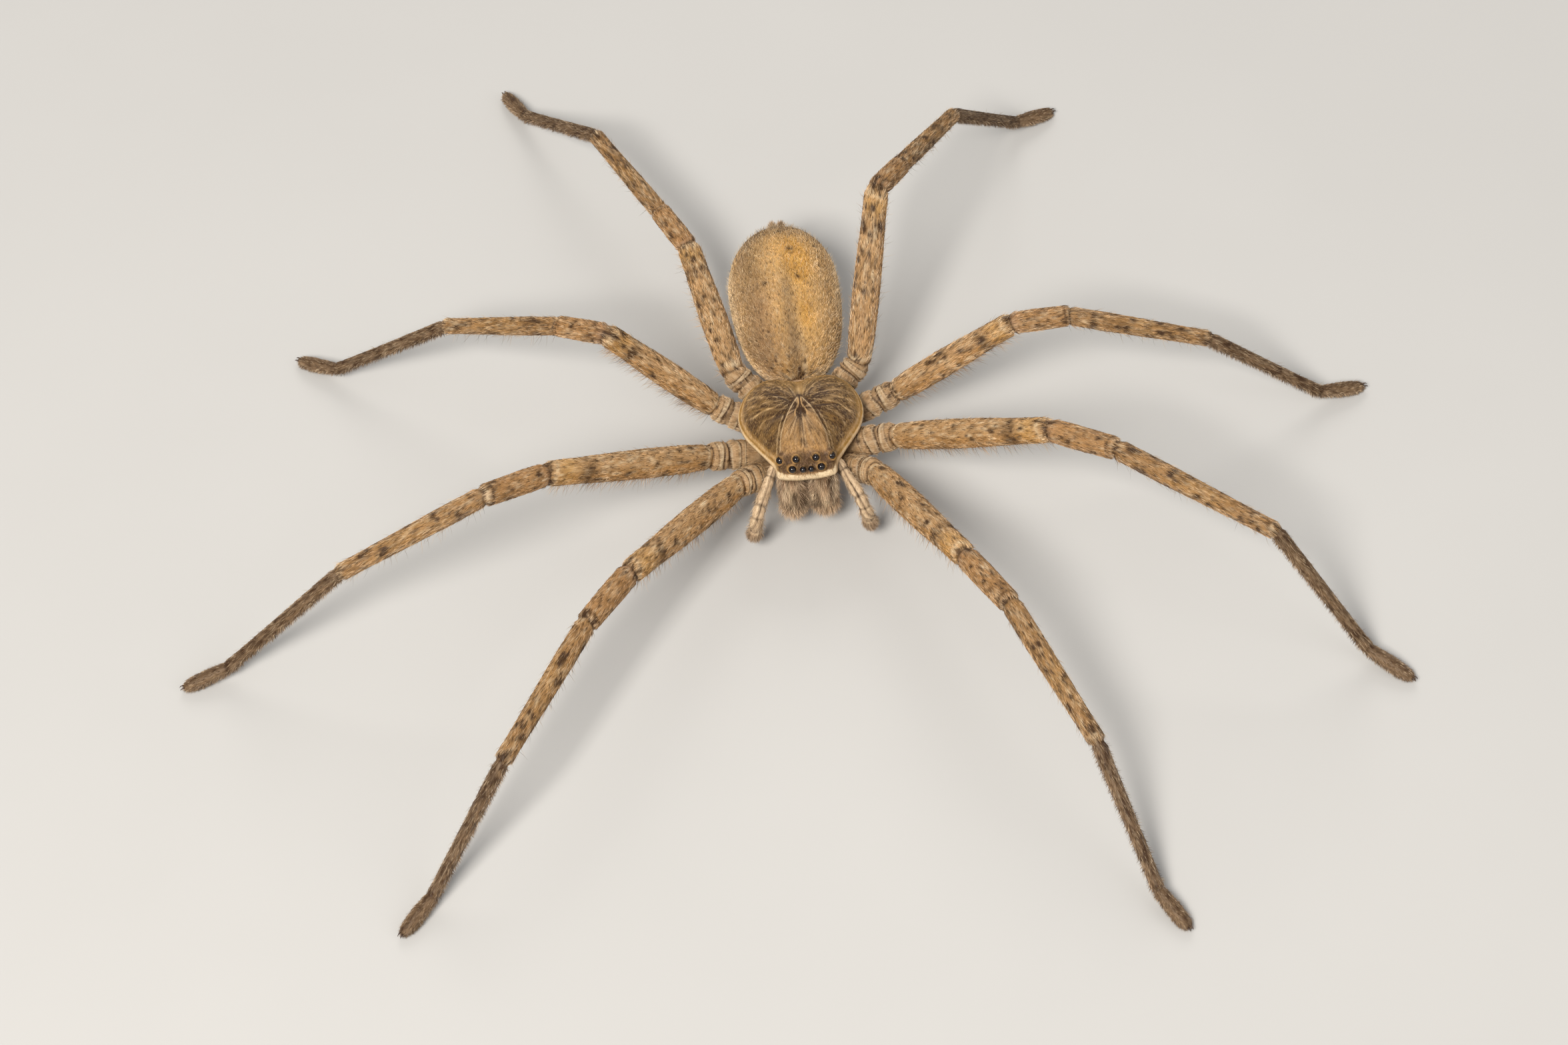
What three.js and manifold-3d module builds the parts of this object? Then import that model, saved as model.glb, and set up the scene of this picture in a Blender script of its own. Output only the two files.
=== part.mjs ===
// Huntsman spider, adult female, life size, standing with its legs spread.
// Millimetres, +Z up. The head looks along -Y, the animal's left side is +X,
// the tips of the feet rest at z = 0 and x = y = 0 is the middle of its box.

import * as THREE from 'three';
import { mergeVertices } from 'three/addons/utils/BufferGeometryUtils.js';
import Module from 'manifold-3d';

const wasm = await Module();
wasm.setup();

const UP = new THREE.Vector3(0, 0, 1);

// Gaps between neighbouring pieces
const JOINT_GAP = 0.16;
const EYE_GAP = 0.05;

// Carapace: half outline from the rear notch to the middle of the forehead
const CARAPACE_HALF_OUTLINE = [
  [0, 3.78],
  [1.0, 4.02],
  [2.4, 4.12],
  [3.75, 3.3],
  [4.6, 1.8],
  [4.8, 0.4],
  [4.45, -0.95],
  [3.7, -2.2],
  [2.95, -3.3],
  [2.42, -4.2],
  [2.2, -5.1],
  [1.1, -5.42],
  [0, -5.45],
];
const CARAPACE_SIDES = 44;
const CARAPACE_UNDER_Z = 6.1;
const CARAPACE_RIM_Z = 6.34;
const CARAPACE_TOP_Z = 8.75;
const CARAPACE_APEX_Y = -0.4;
const FOVEA_Y = -0.5;
const FOVEA_DEPTH = 0.16;
const FURROW_DEPTH = 0.1;
const FURROW_HEADINGS = [32, 66, 98, 134];

// Eye field: front row and rear row, side eyes and middle eyes
const EYES = [
  { name: 'eye_front_middle', x: 0.31, y: -5.36, z: 7.5, radius: 0.24 },
  { name: 'eye_front_side', x: 1.08, y: -5.22, z: 7.48, radius: 0.33 },
  { name: 'eye_rear_middle', x: 0.74, y: -4.78, z: 8.1, radius: 0.29 },
  { name: 'eye_rear_side', x: 1.92, y: -4.5, z: 7.78, radius: 0.32 },
];

// Underside of the front body
const STERNUM_HALF_WIDTH = 2.25;
const STERNUM_FRONT_Y = -2.75;
const STERNUM_REAR_Y = 3.05;
const STERNUM_BOTTOM_Z = 3.0;
const STERNUM_TOP_Z = 5.94;

// Jaws and fangs
const JAW_ROOT = new THREE.Vector3(1.2, -4.2, 5.92);
const JAW_TIP = new THREE.Vector3(1.2, -4.95, 2.35);
const JAW_RADIUS = 1.08;
const JAW_BULGE = 0.22;
const FANG_PATH = [
  [1.15, -5.15, 2.2],
  [1.02, -5.02, 1.75],
  [0.66, -4.72, 1.55],
  [0.22, -4.45, 1.7],
];
const FANG_RADIUS = 0.27;

// Palps, from under the forehead to the tip, on the left; the right one is mirrored
const PALP_PATH = [
  [2.42, -3.62, 5.92],
  [2.72, -4.1, 5.45],
  [3.15, -5.0, 5.1],
  [3.75, -6.4, 4.85],
  [4.15, -7.05, 3.7],
  [4.35, -7.0, 2.5],
  [4.45, -6.8, 1.5],
];
const PALP_RADIUS = 0.56;

// Abdomen: widest behind its middle, blunt in front, joined by a short stalk
const ABDOMEN_BLUNTNESS = 2.45;
const ABDOMEN_FRONT_Y = 4.5;
const ABDOMEN_WIDEST_Y = 13.0;
const ABDOMEN_REAR_Y = 19.75;
const ABDOMEN_HALF_WIDTH = 4.42;
const ABDOMEN_HALF_HEIGHT = 3.85;
const ABDOMEN_Z = 5.65;
const ABDOMEN_REAR_DROP = 0.9;
const ABDOMEN_SHIFT_X = -0.25;
const STALK_RADIUS = 0.55;
const STALK_Z = 5.15;

// Spinnerets: length, root radius and place round the rear tip, in degrees from the top
const SPINNERET_LENGTH = 1.0;
const SPINNERET_RADIUS = 0.27;
const SPINNERET_CLOCK = [45, 110, 150, 210, 250, 315];
const SPINNERET_RING = 0.36;

// Where the hip pieces of the four pairs leave the body, front to rear
const HIP_ROOTS = [[2.62, -2.62, 4.0], [2.85, -0.82, 4.0], [2.8, 1.45, 4.0], [2.15, 3.42, 4.1]];

// Each leg: place of the hip joint beside the body, lengths of thigh, knee, shin, lower foot and
// toe piece, their compass headings in degrees from +X towards +Y, and the climb of the first
// three above the level. The last two come down to the floor.
const LEGS = [
  {
    name: 'right_1', side: -1, pair: 0, hip: [5.27, -4.48, 5.22], lengths: [13.43, 5.48, 12.3, 11.15, 3.5],
    headings: [-130.8, -127.6, -123.5, -134.5, -134.4], climbs: [16.9, 4.9, -6.5],
  },
  {
    name: 'right_2', side: -1, pair: 1, hip: [7.25, -1.62, 5.25], lengths: [14.47, 5.43, 12.55, 12.13, 3.62],
    headings: [-157.1, -150.6, -170.1, -166.1, -165.5], climbs: [27.4, 16.9, -23.6],
  },
  {
    name: 'right_3', side: -1, pair: 2, hip: [6.41, 3.12, 5.2], lengths: [10.86, 4.59, 10.98, 11.0, 3.63],
    headings: [165.4, 146.6, 152.6, 170.7, 148.8], climbs: [44.8, -18.6, -23.6],
  },
  {
    name: 'right_4', side: -1, pair: 3, hip: [4.77, 5.66, 5.7], lengths: [12.53, 4.18, 9.92, 10.78, 3.65],
    headings: [101.5, 118.1, 117.6, 128.0, 116.6], climbs: [3.1, 3.8, -1.9],
  },
  {
    name: 'left_1', side: 1, pair: 0, hip: [5.14, -4.59, 5.19], lengths: [13.37, 5.58, 12.08, 11.28, 3.45],
    headings: [-64.0, -60.9, -65.2, -70.4, -57.5], climbs: [18.6, 5.3, -13.1],
  },
  {
    name: 'left_2', side: 1, pair: 1, hip: [6.96, -1.46, 5.25], lengths: [14.62, 5.42, 13.04, 12.0, 3.86],
    headings: [-30.1, -33.6, -29.8, -38.9, -40.0], climbs: [30.3, 9.7, -16.0],
  },
  {
    name: 'left_3', side: 1, pair: 2, hip: [7.31, 2.73, 5.2], lengths: [10.85, 4.44, 11.02, 10.92, 3.67],
    headings: [4.8, 7.4, -7.3, -6.5, 10.7], climbs: [33.6, -6.4, -14.9],
  },
  {
    name: 'left_4', side: 1, pair: 3, hip: [4.85, 5.49, 5.7], lengths: [13.3, 4.11, 10.01, 10.88, 3.49],
    headings: [75.0, 56.7, 58.3, 44.2, 24.0], climbs: [39.4, -19.1, -22.7],
  },
];
const ANKLE_Z = 1.15;
const TOE_Z = 0.34;
const LEG_SIDES = 10;
const HIP_RADIUS = [1.16, 1.2, 1.14, 1.14];
const THIGH_RADIUS = [1.18, 1.2, 1.12, 1.14];
const KNEE_RADIUS = [0.96, 0.96, 0.9, 0.9];
const SHIN_RADIUS = [0.86, 0.86, 0.8, 0.8];
const FOOT_RADIUS = [0.56, 0.56, 0.53, 0.53];

// Radius along each kind of segment: place from 0 to 1, share of its full radius
const HIP_PROFILE = [
  [0, 0.62], [0.1, 0.8], [0.4, 0.97], [0.62, 1.0], [0.7, 0.9], [0.78, 0.97], [0.92, 0.92], [1, 0.8],
];
const THIGH_PROFILE = [
  [0, 0.78], [0.05, 0.9], [0.18, 0.97], [0.4, 1.0], [0.6, 0.96], [0.8, 0.88], [0.93, 0.84], [1, 0.74],
];
const KNEE_PROFILE = [
  [0, 0.84], [0.1, 0.98], [0.35, 1.0], [0.7, 0.97], [0.92, 0.93], [1, 0.84],
];
const SHIN_PROFILE = [
  [0, 0.86], [0.06, 0.98], [0.25, 1.0], [0.55, 0.93], [0.85, 0.86], [0.96, 0.84], [1, 0.7],
];
const FOOT_PROFILE = [
  [0, 0.92], [0.03, 1.05], [0.2, 1.0], [0.45, 0.93], [0.68, 0.92], [0.745, 0.97], [0.765, 0.86],
  [0.79, 0.93], [0.86, 1.0], [0.93, 0.98], [0.975, 0.8], [1, 0.45],
];

const COLOURS = {
  shield: 0x9a7448,
  belly: 0xb08a5e,
  jaw: 0x8a7358,
  fang: 0x24120c,
  palp: 0xb99c78,
  back: 0xa8814f,
  thigh: 0xa98250,
  hip: 0xc2a37e,
  knee: 0xb28a63,
  shin: 0xa7804c,
  foot: 0x7d6449,
  eye: 0x0c0a0a,
};

function finish(colour, roughness) {
  return new THREE.MeshStandardMaterial({ color: colour, roughness, metalness: 0 });
}

// Merges a geometry's shared points, drops collapsed triangles and turns its faces outward.
function closedBody(geometry) {
  geometry.deleteAttribute('normal');
  geometry.deleteAttribute('uv');
  const merged = mergeVertices(geometry, 1e-4);
  const index = merged.getIndex();
  const place = merged.getAttribute('position');
  const corners = [new THREE.Vector3(), new THREE.Vector3(), new THREE.Vector3()];
  const kept = [];
  let volume = 0;
  for (let i = 0; i < index.count; i += 3) {
    const ids = [index.getX(i), index.getX(i + 1), index.getX(i + 2)];
    if (ids[0] === ids[1] || ids[1] === ids[2] || ids[2] === ids[0]) continue;
    corners.forEach((corner, k) => corner.fromBufferAttribute(place, ids[k]));
    volume += corners[0].dot(corners[1].clone().cross(corners[2]));
    kept.push(ids);
  }
  const turned = volume < 0 ? kept.map(([a, b, c]) => [a, c, b]) : kept;
  merged.setIndex(turned.flat());
  return merged;
}

function toManifold(geometry) {
  const vertProperties = new Float32Array(geometry.getAttribute('position').array);
  const triVerts = new Uint32Array(geometry.getIndex().array);
  const mesh = new wasm.Mesh({ numProp: 3, vertProperties, triVerts });
  mesh.merge();
  return new wasm.Manifold(mesh);
}

// Keeps the largest closed surface of a solid and gives it back as a geometry.
function fromManifold(solid) {
  const pieces = solid.decompose();
  const largest = pieces.reduce((best, piece) => (piece.volume() > best.volume() ? piece : best));
  const mesh = largest.getMesh();
  const geometry = new THREE.BufferGeometry();
  geometry.setAttribute('position', new THREE.BufferAttribute(mesh.vertProperties, 3));
  geometry.setIndex(new THREE.BufferAttribute(mesh.triVerts, 1));
  return closedBody(geometry);
}

function movePoints(geometry, move) {
  const place = geometry.getAttribute('position');
  const point = new THREE.Vector3();
  for (let i = 0; i < place.count; i += 1) {
    point.fromBufferAttribute(place, i);
    move(point);
    place.setXYZ(i, point.x, point.y, point.z);
  }
  return geometry;
}

// A body turned on a lathe from its radius along its length, then laid along a curve.
// Its two ends are flat and lie square to startNormal and endNormal, where these are given.
function limb(curve, profile, radius, options = {}) {
  const { sides = LEG_SIDES, wide = 1, tall = 1, startNormal, endNormal } = options;
  const outline = [new THREE.Vector2(0, profile[0][0])];
  profile.forEach(([along, share]) => outline.push(new THREE.Vector2(share * radius, along)));
  outline.push(new THREE.Vector2(0, profile[profile.length - 1][0]));
  const length = curve.getLength();
  const zone = (3 * radius) / length;
  return closedBody(movePoints(new THREE.LatheGeometry(outline, sides), (point) => {
    const along = THREE.MathUtils.clamp(point.y, 0, 1);
    const centre = curve.getPointAt(along);
    const ahead = curve.getTangentAt(along);
    const across = ahead.clone().cross(UP).normalize();
    const above = across.clone().cross(ahead);
    const offset = across.multiplyScalar(point.x * wide).addScaledVector(above, point.z * tall);
    let slide = 0;
    if (startNormal) {
      slide -= Math.max(0, 1 - along / zone) * offset.dot(startNormal) / ahead.dot(startNormal);
    }
    if (endNormal) {
      slide -= Math.max(0, 1 - (1 - along) / zone) * offset.dot(endNormal) / ahead.dot(endNormal);
    }
    point.copy(centre).add(offset).addScaledVector(ahead, slide);
  }));
}

function straight(from, to, startGap, endGap) {
  const ahead = to.clone().sub(from).normalize();
  const start = from.clone().addScaledVector(ahead, startGap);
  const end = to.clone().addScaledVector(ahead, -endGap);
  return new THREE.LineCurve3(start, end);
}

const spider = new THREE.Group();

// Adds a named piece, placed at its own anchor point.
function addPiece(name, geometry, anchor, material) {
  geometry.translate(-anchor.x, -anchor.y, -anchor.z);
  geometry.computeVertexNormals();
  const mesh = new THREE.Mesh(geometry, material);
  mesh.name = name;
  mesh.position.copy(anchor);
  spider.add(mesh);
  return mesh;
}

// Points of the shield's rim, evenly spaced, from the rear round to the rear again.
function carapaceRim() {
  const left = CARAPACE_HALF_OUTLINE.map(([x, y]) => new THREE.Vector3(x, y, 0));
  const right = CARAPACE_HALF_OUTLINE.slice(1, -1).reverse().map(([x, y]) => new THREE.Vector3(-x, y, 0));
  const curve = new THREE.CatmullRomCurve3([...left, ...right], true, 'centripetal');
  return curve.getSpacedPoints(CARAPACE_SIDES).slice(0, CARAPACE_SIDES);
}

// Height of the shield's upper surface over a place on its plan. The share is 0 at the top
// of the dome and 1 on the rim. The forehead stands steep, the flanks and rear slope away.
function carapaceHeight(x, y, share) {
  const heading = Math.abs(THREE.MathUtils.radToDeg(Math.atan2(x, -(y - CARAPACE_APEX_Y))));
  const front = 1 - THREE.MathUtils.smoothstep(heading, 20, 50);
  const rear = THREE.MathUtils.smoothstep(heading, 120, 180);
  const power = THREE.MathUtils.lerp(2.9, 9, front) - 0.5 * rear;
  const dome = Math.max(0, 1 - share ** power) ** THREE.MathUtils.lerp(0.85, 0.62, front);
  const eyeSlope = 1.05 * front * THREE.MathUtils.smoothstep(share, 0.68, 1.02);
  const crown = CARAPACE_TOP_Z - CARAPACE_RIM_Z - eyeSlope - 0.25 * rear * share;
  let height = CARAPACE_RIM_Z + crown * dome;
  const nearFovea = Math.exp(-((x / 0.55) ** 2) - ((y - FOVEA_Y) / 0.9) ** 2);
  height -= FOVEA_DEPTH * nearFovea;
  FURROW_HEADINGS.forEach((furrow) => {
    const across = Math.exp(-(((heading - furrow) / 7) ** 2));
    const along = THREE.MathUtils.smoothstep(share, 0.12, 0.35) * (1 - THREE.MathUtils.smoothstep(share, 0.7, 0.9));
    height -= FURROW_DEPTH * across * along;
  });
  return height;
}

function carapaceGeometry() {
  const rings = [0, 0.16, 0.32, 0.48, 0.62, 0.74, 0.83, 0.9, 0.95, 0.985, 1];
  const outline = rings.map((share) => new THREE.Vector2(share, 1));
  outline.push(new THREE.Vector2(0.985, 0), new THREE.Vector2(0.6, 0), new THREE.Vector2(0, 0));
  const rim = carapaceRim();
  const geometry = new THREE.LatheGeometry(outline, CARAPACE_SIDES);
  return closedBody(movePoints(geometry, (point) => {
    const share = Math.hypot(point.x, point.z);
    const turn = Math.atan2(point.x, point.z) / (2 * Math.PI);
    const step = ((Math.round(turn * CARAPACE_SIDES) % CARAPACE_SIDES) + CARAPACE_SIDES) % CARAPACE_SIDES;
    const edge = rim[step];
    const x = edge.x * share;
    const y = THREE.MathUtils.lerp(CARAPACE_APEX_Y, edge.y, share);
    const z = point.y > 0.5 ? carapaceHeight(x, y, share) : CARAPACE_UNDER_Z;
    point.set(x, y, z);
  }));
}

function eyeGeometry(radius) {
  return closedBody(new THREE.SphereGeometry(radius, 10, 7));
}

function addHead() {
  let shield = toManifold(carapaceGeometry());
  const eyeMaterial = finish(COLOURS.eye, 0.1);
  EYES.forEach(({ name, x, y, z, radius }) => {
    [-1, 1].forEach((side) => {
      const centre = new THREE.Vector3(side * x, y, z);
      const socket = toManifold(eyeGeometry(radius + EYE_GAP)).translate(centre.toArray());
      shield = shield.subtract(socket);
      const eye = eyeGeometry(radius).translate(centre.x, centre.y, centre.z);
      addPiece(`${name}_${side < 0 ? 'right' : 'left'}`, eye, centre, eyeMaterial);
    });
  });
  const anchor = new THREE.Vector3(0, CARAPACE_APEX_Y, CARAPACE_UNDER_Z);
  addPiece('carapace', fromManifold(shield), anchor, finish(COLOURS.shield, 0.7));
}

// The plate under the front body with the block between the hips above it.
function addSternum() {
  const profile = [[0, 0], [0.55, 0.01], [0.85, 0.08], [1, 0.24], [0.97, 0.8], [0.8, 1], [0, 1]];
  const outline = profile.map(([share, height]) => new THREE.Vector2(share, height));
  const middle = (STERNUM_FRONT_Y + STERNUM_REAR_Y) / 2;
  const reach = (STERNUM_REAR_Y - STERNUM_FRONT_Y) / 2;
  const geometry = closedBody(movePoints(new THREE.LatheGeometry(outline, 24), (point) => {
    const taper = 1 - 0.12 * point.z;
    const x = point.x * STERNUM_HALF_WIDTH * taper;
    const y = middle + point.z * reach;
    const z = THREE.MathUtils.lerp(STERNUM_BOTTOM_Z, STERNUM_TOP_Z, point.y);
    point.set(x, y, z);
  }));
  const anchor = new THREE.Vector3(0, middle, STERNUM_BOTTOM_Z);
  addPiece('sternum', geometry, anchor, finish(COLOURS.belly, 0.8));
}

function mirrored(points, side) {
  return points.map(([x, y, z]) => new THREE.Vector3(side * x, y, z));
}

function addJaws() {
  const profile = [
    [0, 0.8], [0.05, 0.93], [0.2, 1.0], [0.45, 1.0], [0.7, 0.93], [0.88, 0.8], [0.97, 0.6], [1, 0.38],
  ];
  const fangProfile = [[0, 0.9], [0.12, 1], [0.4, 0.8], [0.7, 0.5], [0.93, 0.24], [1, 0.12]];
  [-1, 1].forEach((side) => {
    const label = side < 0 ? 'right' : 'left';
    const root = JAW_ROOT.clone();
    const tip = JAW_TIP.clone();
    root.x *= side;
    tip.x *= side;
    const bend = root.clone().lerp(tip, 0.35).add(new THREE.Vector3(0, -JAW_BULGE, 0));
    const curve = new THREE.CatmullRomCurve3([root, bend, tip]);
    const jaw = limb(curve, profile, JAW_RADIUS, { sides: 14, startNormal: UP });
    addPiece(`chelicera_${label}`, jaw, root, finish(COLOURS.jaw, 0.85));
    const path = new THREE.CatmullRomCurve3(mirrored(FANG_PATH, side));
    const fang = limb(path, fangProfile, FANG_RADIUS, { sides: 8 });
    addPiece(`fang_${label}`, fang, path.getPointAt(0), finish(COLOURS.fang, 0.3));
  });
}

function addPalps() {
  const profile = [
    [0, 0.6], [0.06, 0.74], [0.12, 0.7], [0.2, 0.8], [0.42, 0.95], [0.47, 0.84], [0.53, 0.95],
    [0.6, 0.88], [0.7, 1.0], [0.77, 0.86], [0.85, 1.0], [0.94, 0.9], [0.985, 0.6], [1, 0.3],
  ];
  [-1, 1].forEach((side) => {
    const points = mirrored(PALP_PATH, side);
    const curve = new THREE.CatmullRomCurve3(points);
    const palp = limb(curve, profile, PALP_RADIUS, { sides: 8, startNormal: UP });
    addPiece(`palp_${side < 0 ? 'right' : 'left'}`, palp, points[0], finish(COLOURS.palp, 0.8));
  });
}

// How much fuller than an egg the front of the abdomen is at a place along it.
function frontFullness(along) {
  const ring = Math.sqrt(1 - along * along);
  if (along >= 0 || ring < 1e-6) {
    return 1;
  }
  return (1 - Math.abs(along) ** ABDOMEN_BLUNTNESS) ** (1 / ABDOMEN_BLUNTNESS) / ring;
}

function abdomenGeometry() {
  return closedBody(movePoints(new THREE.SphereGeometry(1, 28, 20), (point) => {
    const along = THREE.MathUtils.clamp(point.y, -1, 1);
    const full = frontFullness(along);
    const reach = along > 0 ? ABDOMEN_REAR_Y - ABDOMEN_WIDEST_Y : ABDOMEN_WIDEST_Y - ABDOMEN_FRONT_Y;
    const y = ABDOMEN_WIDEST_Y + along * reach;
    const drop = ABDOMEN_REAR_DROP * Math.max(0, along) ** 2 + 0.35 * Math.max(0, -along) ** 3;
    const x = point.x * full * ABDOMEN_HALF_WIDTH + ABDOMEN_SHIFT_X * Math.min(1, 1 + along);
    const z = ABDOMEN_Z - drop + point.z * full * ABDOMEN_HALF_HEIGHT;
    point.set(x, y, z);
  }));
}

function addAbdomen() {
  const anchor = new THREE.Vector3(ABDOMEN_SHIFT_X, ABDOMEN_WIDEST_Y, ABDOMEN_Z);
  addPiece('abdomen', abdomenGeometry(), anchor, finish(COLOURS.back, 0.9));
  const from = new THREE.Vector3(0, STERNUM_REAR_Y + JOINT_GAP, STALK_Z);
  const to = new THREE.Vector3(0, ABDOMEN_FRONT_Y - 0.02, STALK_Z);
  const stalk = limb(new THREE.LineCurve3(from, to), [[0, 0.8], [0.3, 1], [0.7, 1], [1, 0.8]], STALK_RADIUS);
  addPiece('pedicel', stalk, from, finish(COLOURS.belly, 0.8));
}

// Six short cones in a ring round a low base at the rear tip.
function addSpinnerets() {
  const centre = new THREE.Vector3(ABDOMEN_SHIFT_X, ABDOMEN_REAR_Y + JOINT_GAP, ABDOMEN_Z - ABDOMEN_REAR_DROP);
  const base = closedBody(new THREE.CylinderGeometry(0.62, 0.5, 0.3, 12));
  base.translate(0, 0.15, 0);
  let solid = toManifold(base);
  SPINNERET_CLOCK.forEach((clock) => {
    const turn = THREE.MathUtils.degToRad(clock);
    const cone = closedBody(new THREE.CylinderGeometry(0.1, SPINNERET_RADIUS, SPINNERET_LENGTH, 7));
    cone.translate(0, SPINNERET_LENGTH / 2 + 0.05, 0);
    cone.rotateX(0.28 * Math.cos(turn));
    cone.rotateZ(-0.28 * Math.sin(turn));
    cone.translate(SPINNERET_RING * Math.sin(turn), 0, SPINNERET_RING * Math.cos(turn));
    solid = solid.add(toManifold(cone));
  });
  const geometry = fromManifold(solid);
  geometry.translate(centre.x, centre.y, centre.z);
  addPiece('spinnerets', geometry, centre, finish(COLOURS.belly, 0.8));
}

function direction(heading, climb) {
  const turn = THREE.MathUtils.degToRad(heading);
  const rise = THREE.MathUtils.degToRad(climb);
  return new THREE.Vector3(
    Math.cos(turn) * Math.cos(rise),
    Math.sin(turn) * Math.cos(rise),
    Math.sin(rise),
  );
}

// Joints of a leg from its hip to its toe. The lower foot reaches the ankle's height and the
// toe piece the toe's, whatever the climbs above them.
function legJoints({ side, hip, lengths, headings, climbs }) {
  const joints = [new THREE.Vector3(side * hip[0], hip[1], hip[2])];
  lengths.forEach((length, k) => {
    const from = joints[k];
    const goal = [null, null, null, ANKLE_Z, TOE_Z][k];
    const fall = goal === null ? 0 : THREE.MathUtils.radToDeg(Math.asin((goal - from.z) / length));
    const climb = goal === null ? climbs[k] : fall;
    joints.push(from.clone().addScaledVector(direction(headings[k], climb), length));
  });
  return joints;
}

function jointNormal(before, joint, after) {
  const arriving = joint.clone().sub(before).normalize();
  const leaving = after.clone().sub(joint).normalize();
  return arriving.add(leaving).normalize();
}

// The lower foot and toe piece in one, flattened underneath where it rests on the floor.
function footGeometry(shinEnd, ankle, toe, radius, startNormal) {
  const down = ankle.clone().sub(shinEnd).normalize();
  const out = toe.clone().sub(ankle).normalize();
  const start = shinEnd.clone().addScaledVector(down, JOINT_GAP / 2);
  const bend = 0.55;
  const curve = new THREE.CurvePath();
  const before = ankle.clone().addScaledVector(down, -bend);
  const beyond = ankle.clone().addScaledVector(out, bend);
  curve.add(new THREE.LineCurve3(start, before));
  curve.add(new THREE.QuadraticBezierCurve3(before, ankle, beyond));
  curve.add(new THREE.LineCurve3(beyond, toe));
  const foot = limb(curve, FOOT_PROFILE, radius, { wide: 1.04, startNormal });
  return movePoints(foot, (point) => point.setZ(Math.max(0, point.z)));
}

function addLeg(leg) {
  const { name, side, pair } = leg;
  const [hip, knee, kneeEnd, shinEnd, ankle, toe] = legJoints(leg);
  const root = new THREE.Vector3(side * HIP_ROOTS[pair][0], ...HIP_ROOTS[pair].slice(1));
  const half = JOINT_GAP / 2;
  const normals = [
    jointNormal(root, hip, knee),
    jointNormal(hip, knee, kneeEnd),
    jointNormal(knee, kneeEnd, shinEnd),
    jointNormal(kneeEnd, shinEnd, ankle),
  ];
  const hipBody = limb(straight(root, hip, 0, half), HIP_PROFILE, HIP_RADIUS[pair], { endNormal: normals[0] });
  addPiece(`leg_${name}_hip`, hipBody, root, finish(COLOURS.hip, 0.8));
  const parts = [
    ['femur', hip, knee, THIGH_PROFILE, THIGH_RADIUS, COLOURS.thigh],
    ['patella', knee, kneeEnd, KNEE_PROFILE, KNEE_RADIUS, COLOURS.knee],
    ['tibia', kneeEnd, shinEnd, SHIN_PROFILE, SHIN_RADIUS, COLOURS.shin],
  ];
  parts.forEach(([label, from, to, profile, radii, colour], k) => {
    const options = { startNormal: normals[k], endNormal: normals[k + 1] };
    const body = limb(straight(from, to, half, half), profile, radii[pair], options);
    addPiece(`leg_${name}_${label}`, body, from, finish(colour, 0.8));
  });
  const foot = footGeometry(shinEnd, ankle, toe, FOOT_RADIUS[pair], normals[3]);
  addPiece(`leg_${name}_foot`, foot, shinEnd, finish(COLOURS.foot, 0.85));
}

addHead();
addSternum();
addJaws();
addPalps();
addAbdomen();
addSpinnerets();
LEGS.forEach(addLeg);

// Stands the animal on the floor with the middle of its box over the origin.
const box = new THREE.Box3().setFromObject(spider);
const middle = box.getCenter(new THREE.Vector3());
spider.position.set(-middle.x, -middle.y, -box.min.z);

export default spider;
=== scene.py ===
import math

import bpy
import numpy as np
from mathutils import Matrix, Vector


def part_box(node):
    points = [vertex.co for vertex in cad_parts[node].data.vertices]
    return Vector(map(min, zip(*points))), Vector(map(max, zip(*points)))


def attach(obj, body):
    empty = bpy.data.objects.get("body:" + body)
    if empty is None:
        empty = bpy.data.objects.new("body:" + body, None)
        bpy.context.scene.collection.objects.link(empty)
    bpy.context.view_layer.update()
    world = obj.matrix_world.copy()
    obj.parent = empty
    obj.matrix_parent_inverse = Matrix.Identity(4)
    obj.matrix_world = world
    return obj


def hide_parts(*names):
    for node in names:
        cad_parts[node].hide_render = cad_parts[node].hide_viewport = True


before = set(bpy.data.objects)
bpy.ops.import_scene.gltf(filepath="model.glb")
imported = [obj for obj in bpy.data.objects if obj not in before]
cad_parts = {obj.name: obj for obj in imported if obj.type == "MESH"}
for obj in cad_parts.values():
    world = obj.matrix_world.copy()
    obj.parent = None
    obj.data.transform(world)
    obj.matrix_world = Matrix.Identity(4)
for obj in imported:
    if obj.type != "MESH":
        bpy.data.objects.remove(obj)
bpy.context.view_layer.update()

rng = np.random.default_rng(41)

MM = 0.001
UP = np.array((0.0, 0.0, 1.0))
FULL_TURN = 2 * math.pi
SIDES = ((-1, "right"), (1, "left"))
MASKS = ("dark", "pale", "warm", "grey", "pink")
# Knots between which a curve's four nearest points are blended, level by level
CURVE_SPANS = (((0, 1), (1, 2), (2, 3)), ((0, 2), (1, 3)), ((1, 2),))

# Places are in the body's own millimetres: x to the animal's left, y to its rear, z up from the floor
# Eyes: middle, radius, way it looks, share of the radius that its ball has
EYES = {
    "eye_front_middle": ((0.31, -5.36, 7.5), 0.24, (0.1, -0.9, 0.45), 0.96),
    "eye_front_side": ((1.08, -5.22, 7.48), 0.33, (0.4, -0.8, 0.4), 0.88),
    "eye_rear_middle": ((0.74, -4.78, 8.1), 0.29, (0.15, -0.6, 0.8), 0.96),
    "eye_rear_side": ((1.92, -4.5, 7.78), 0.32, (0.75, -0.4, 0.55), 0.96),
}
eye_low, eye_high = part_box("eye_rear_side_left")
BODY_ORIGIN = (np.array(eye_low) + np.array(eye_high)) / 2 / MM - np.array(EYES["eye_rear_side"][0])

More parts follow.
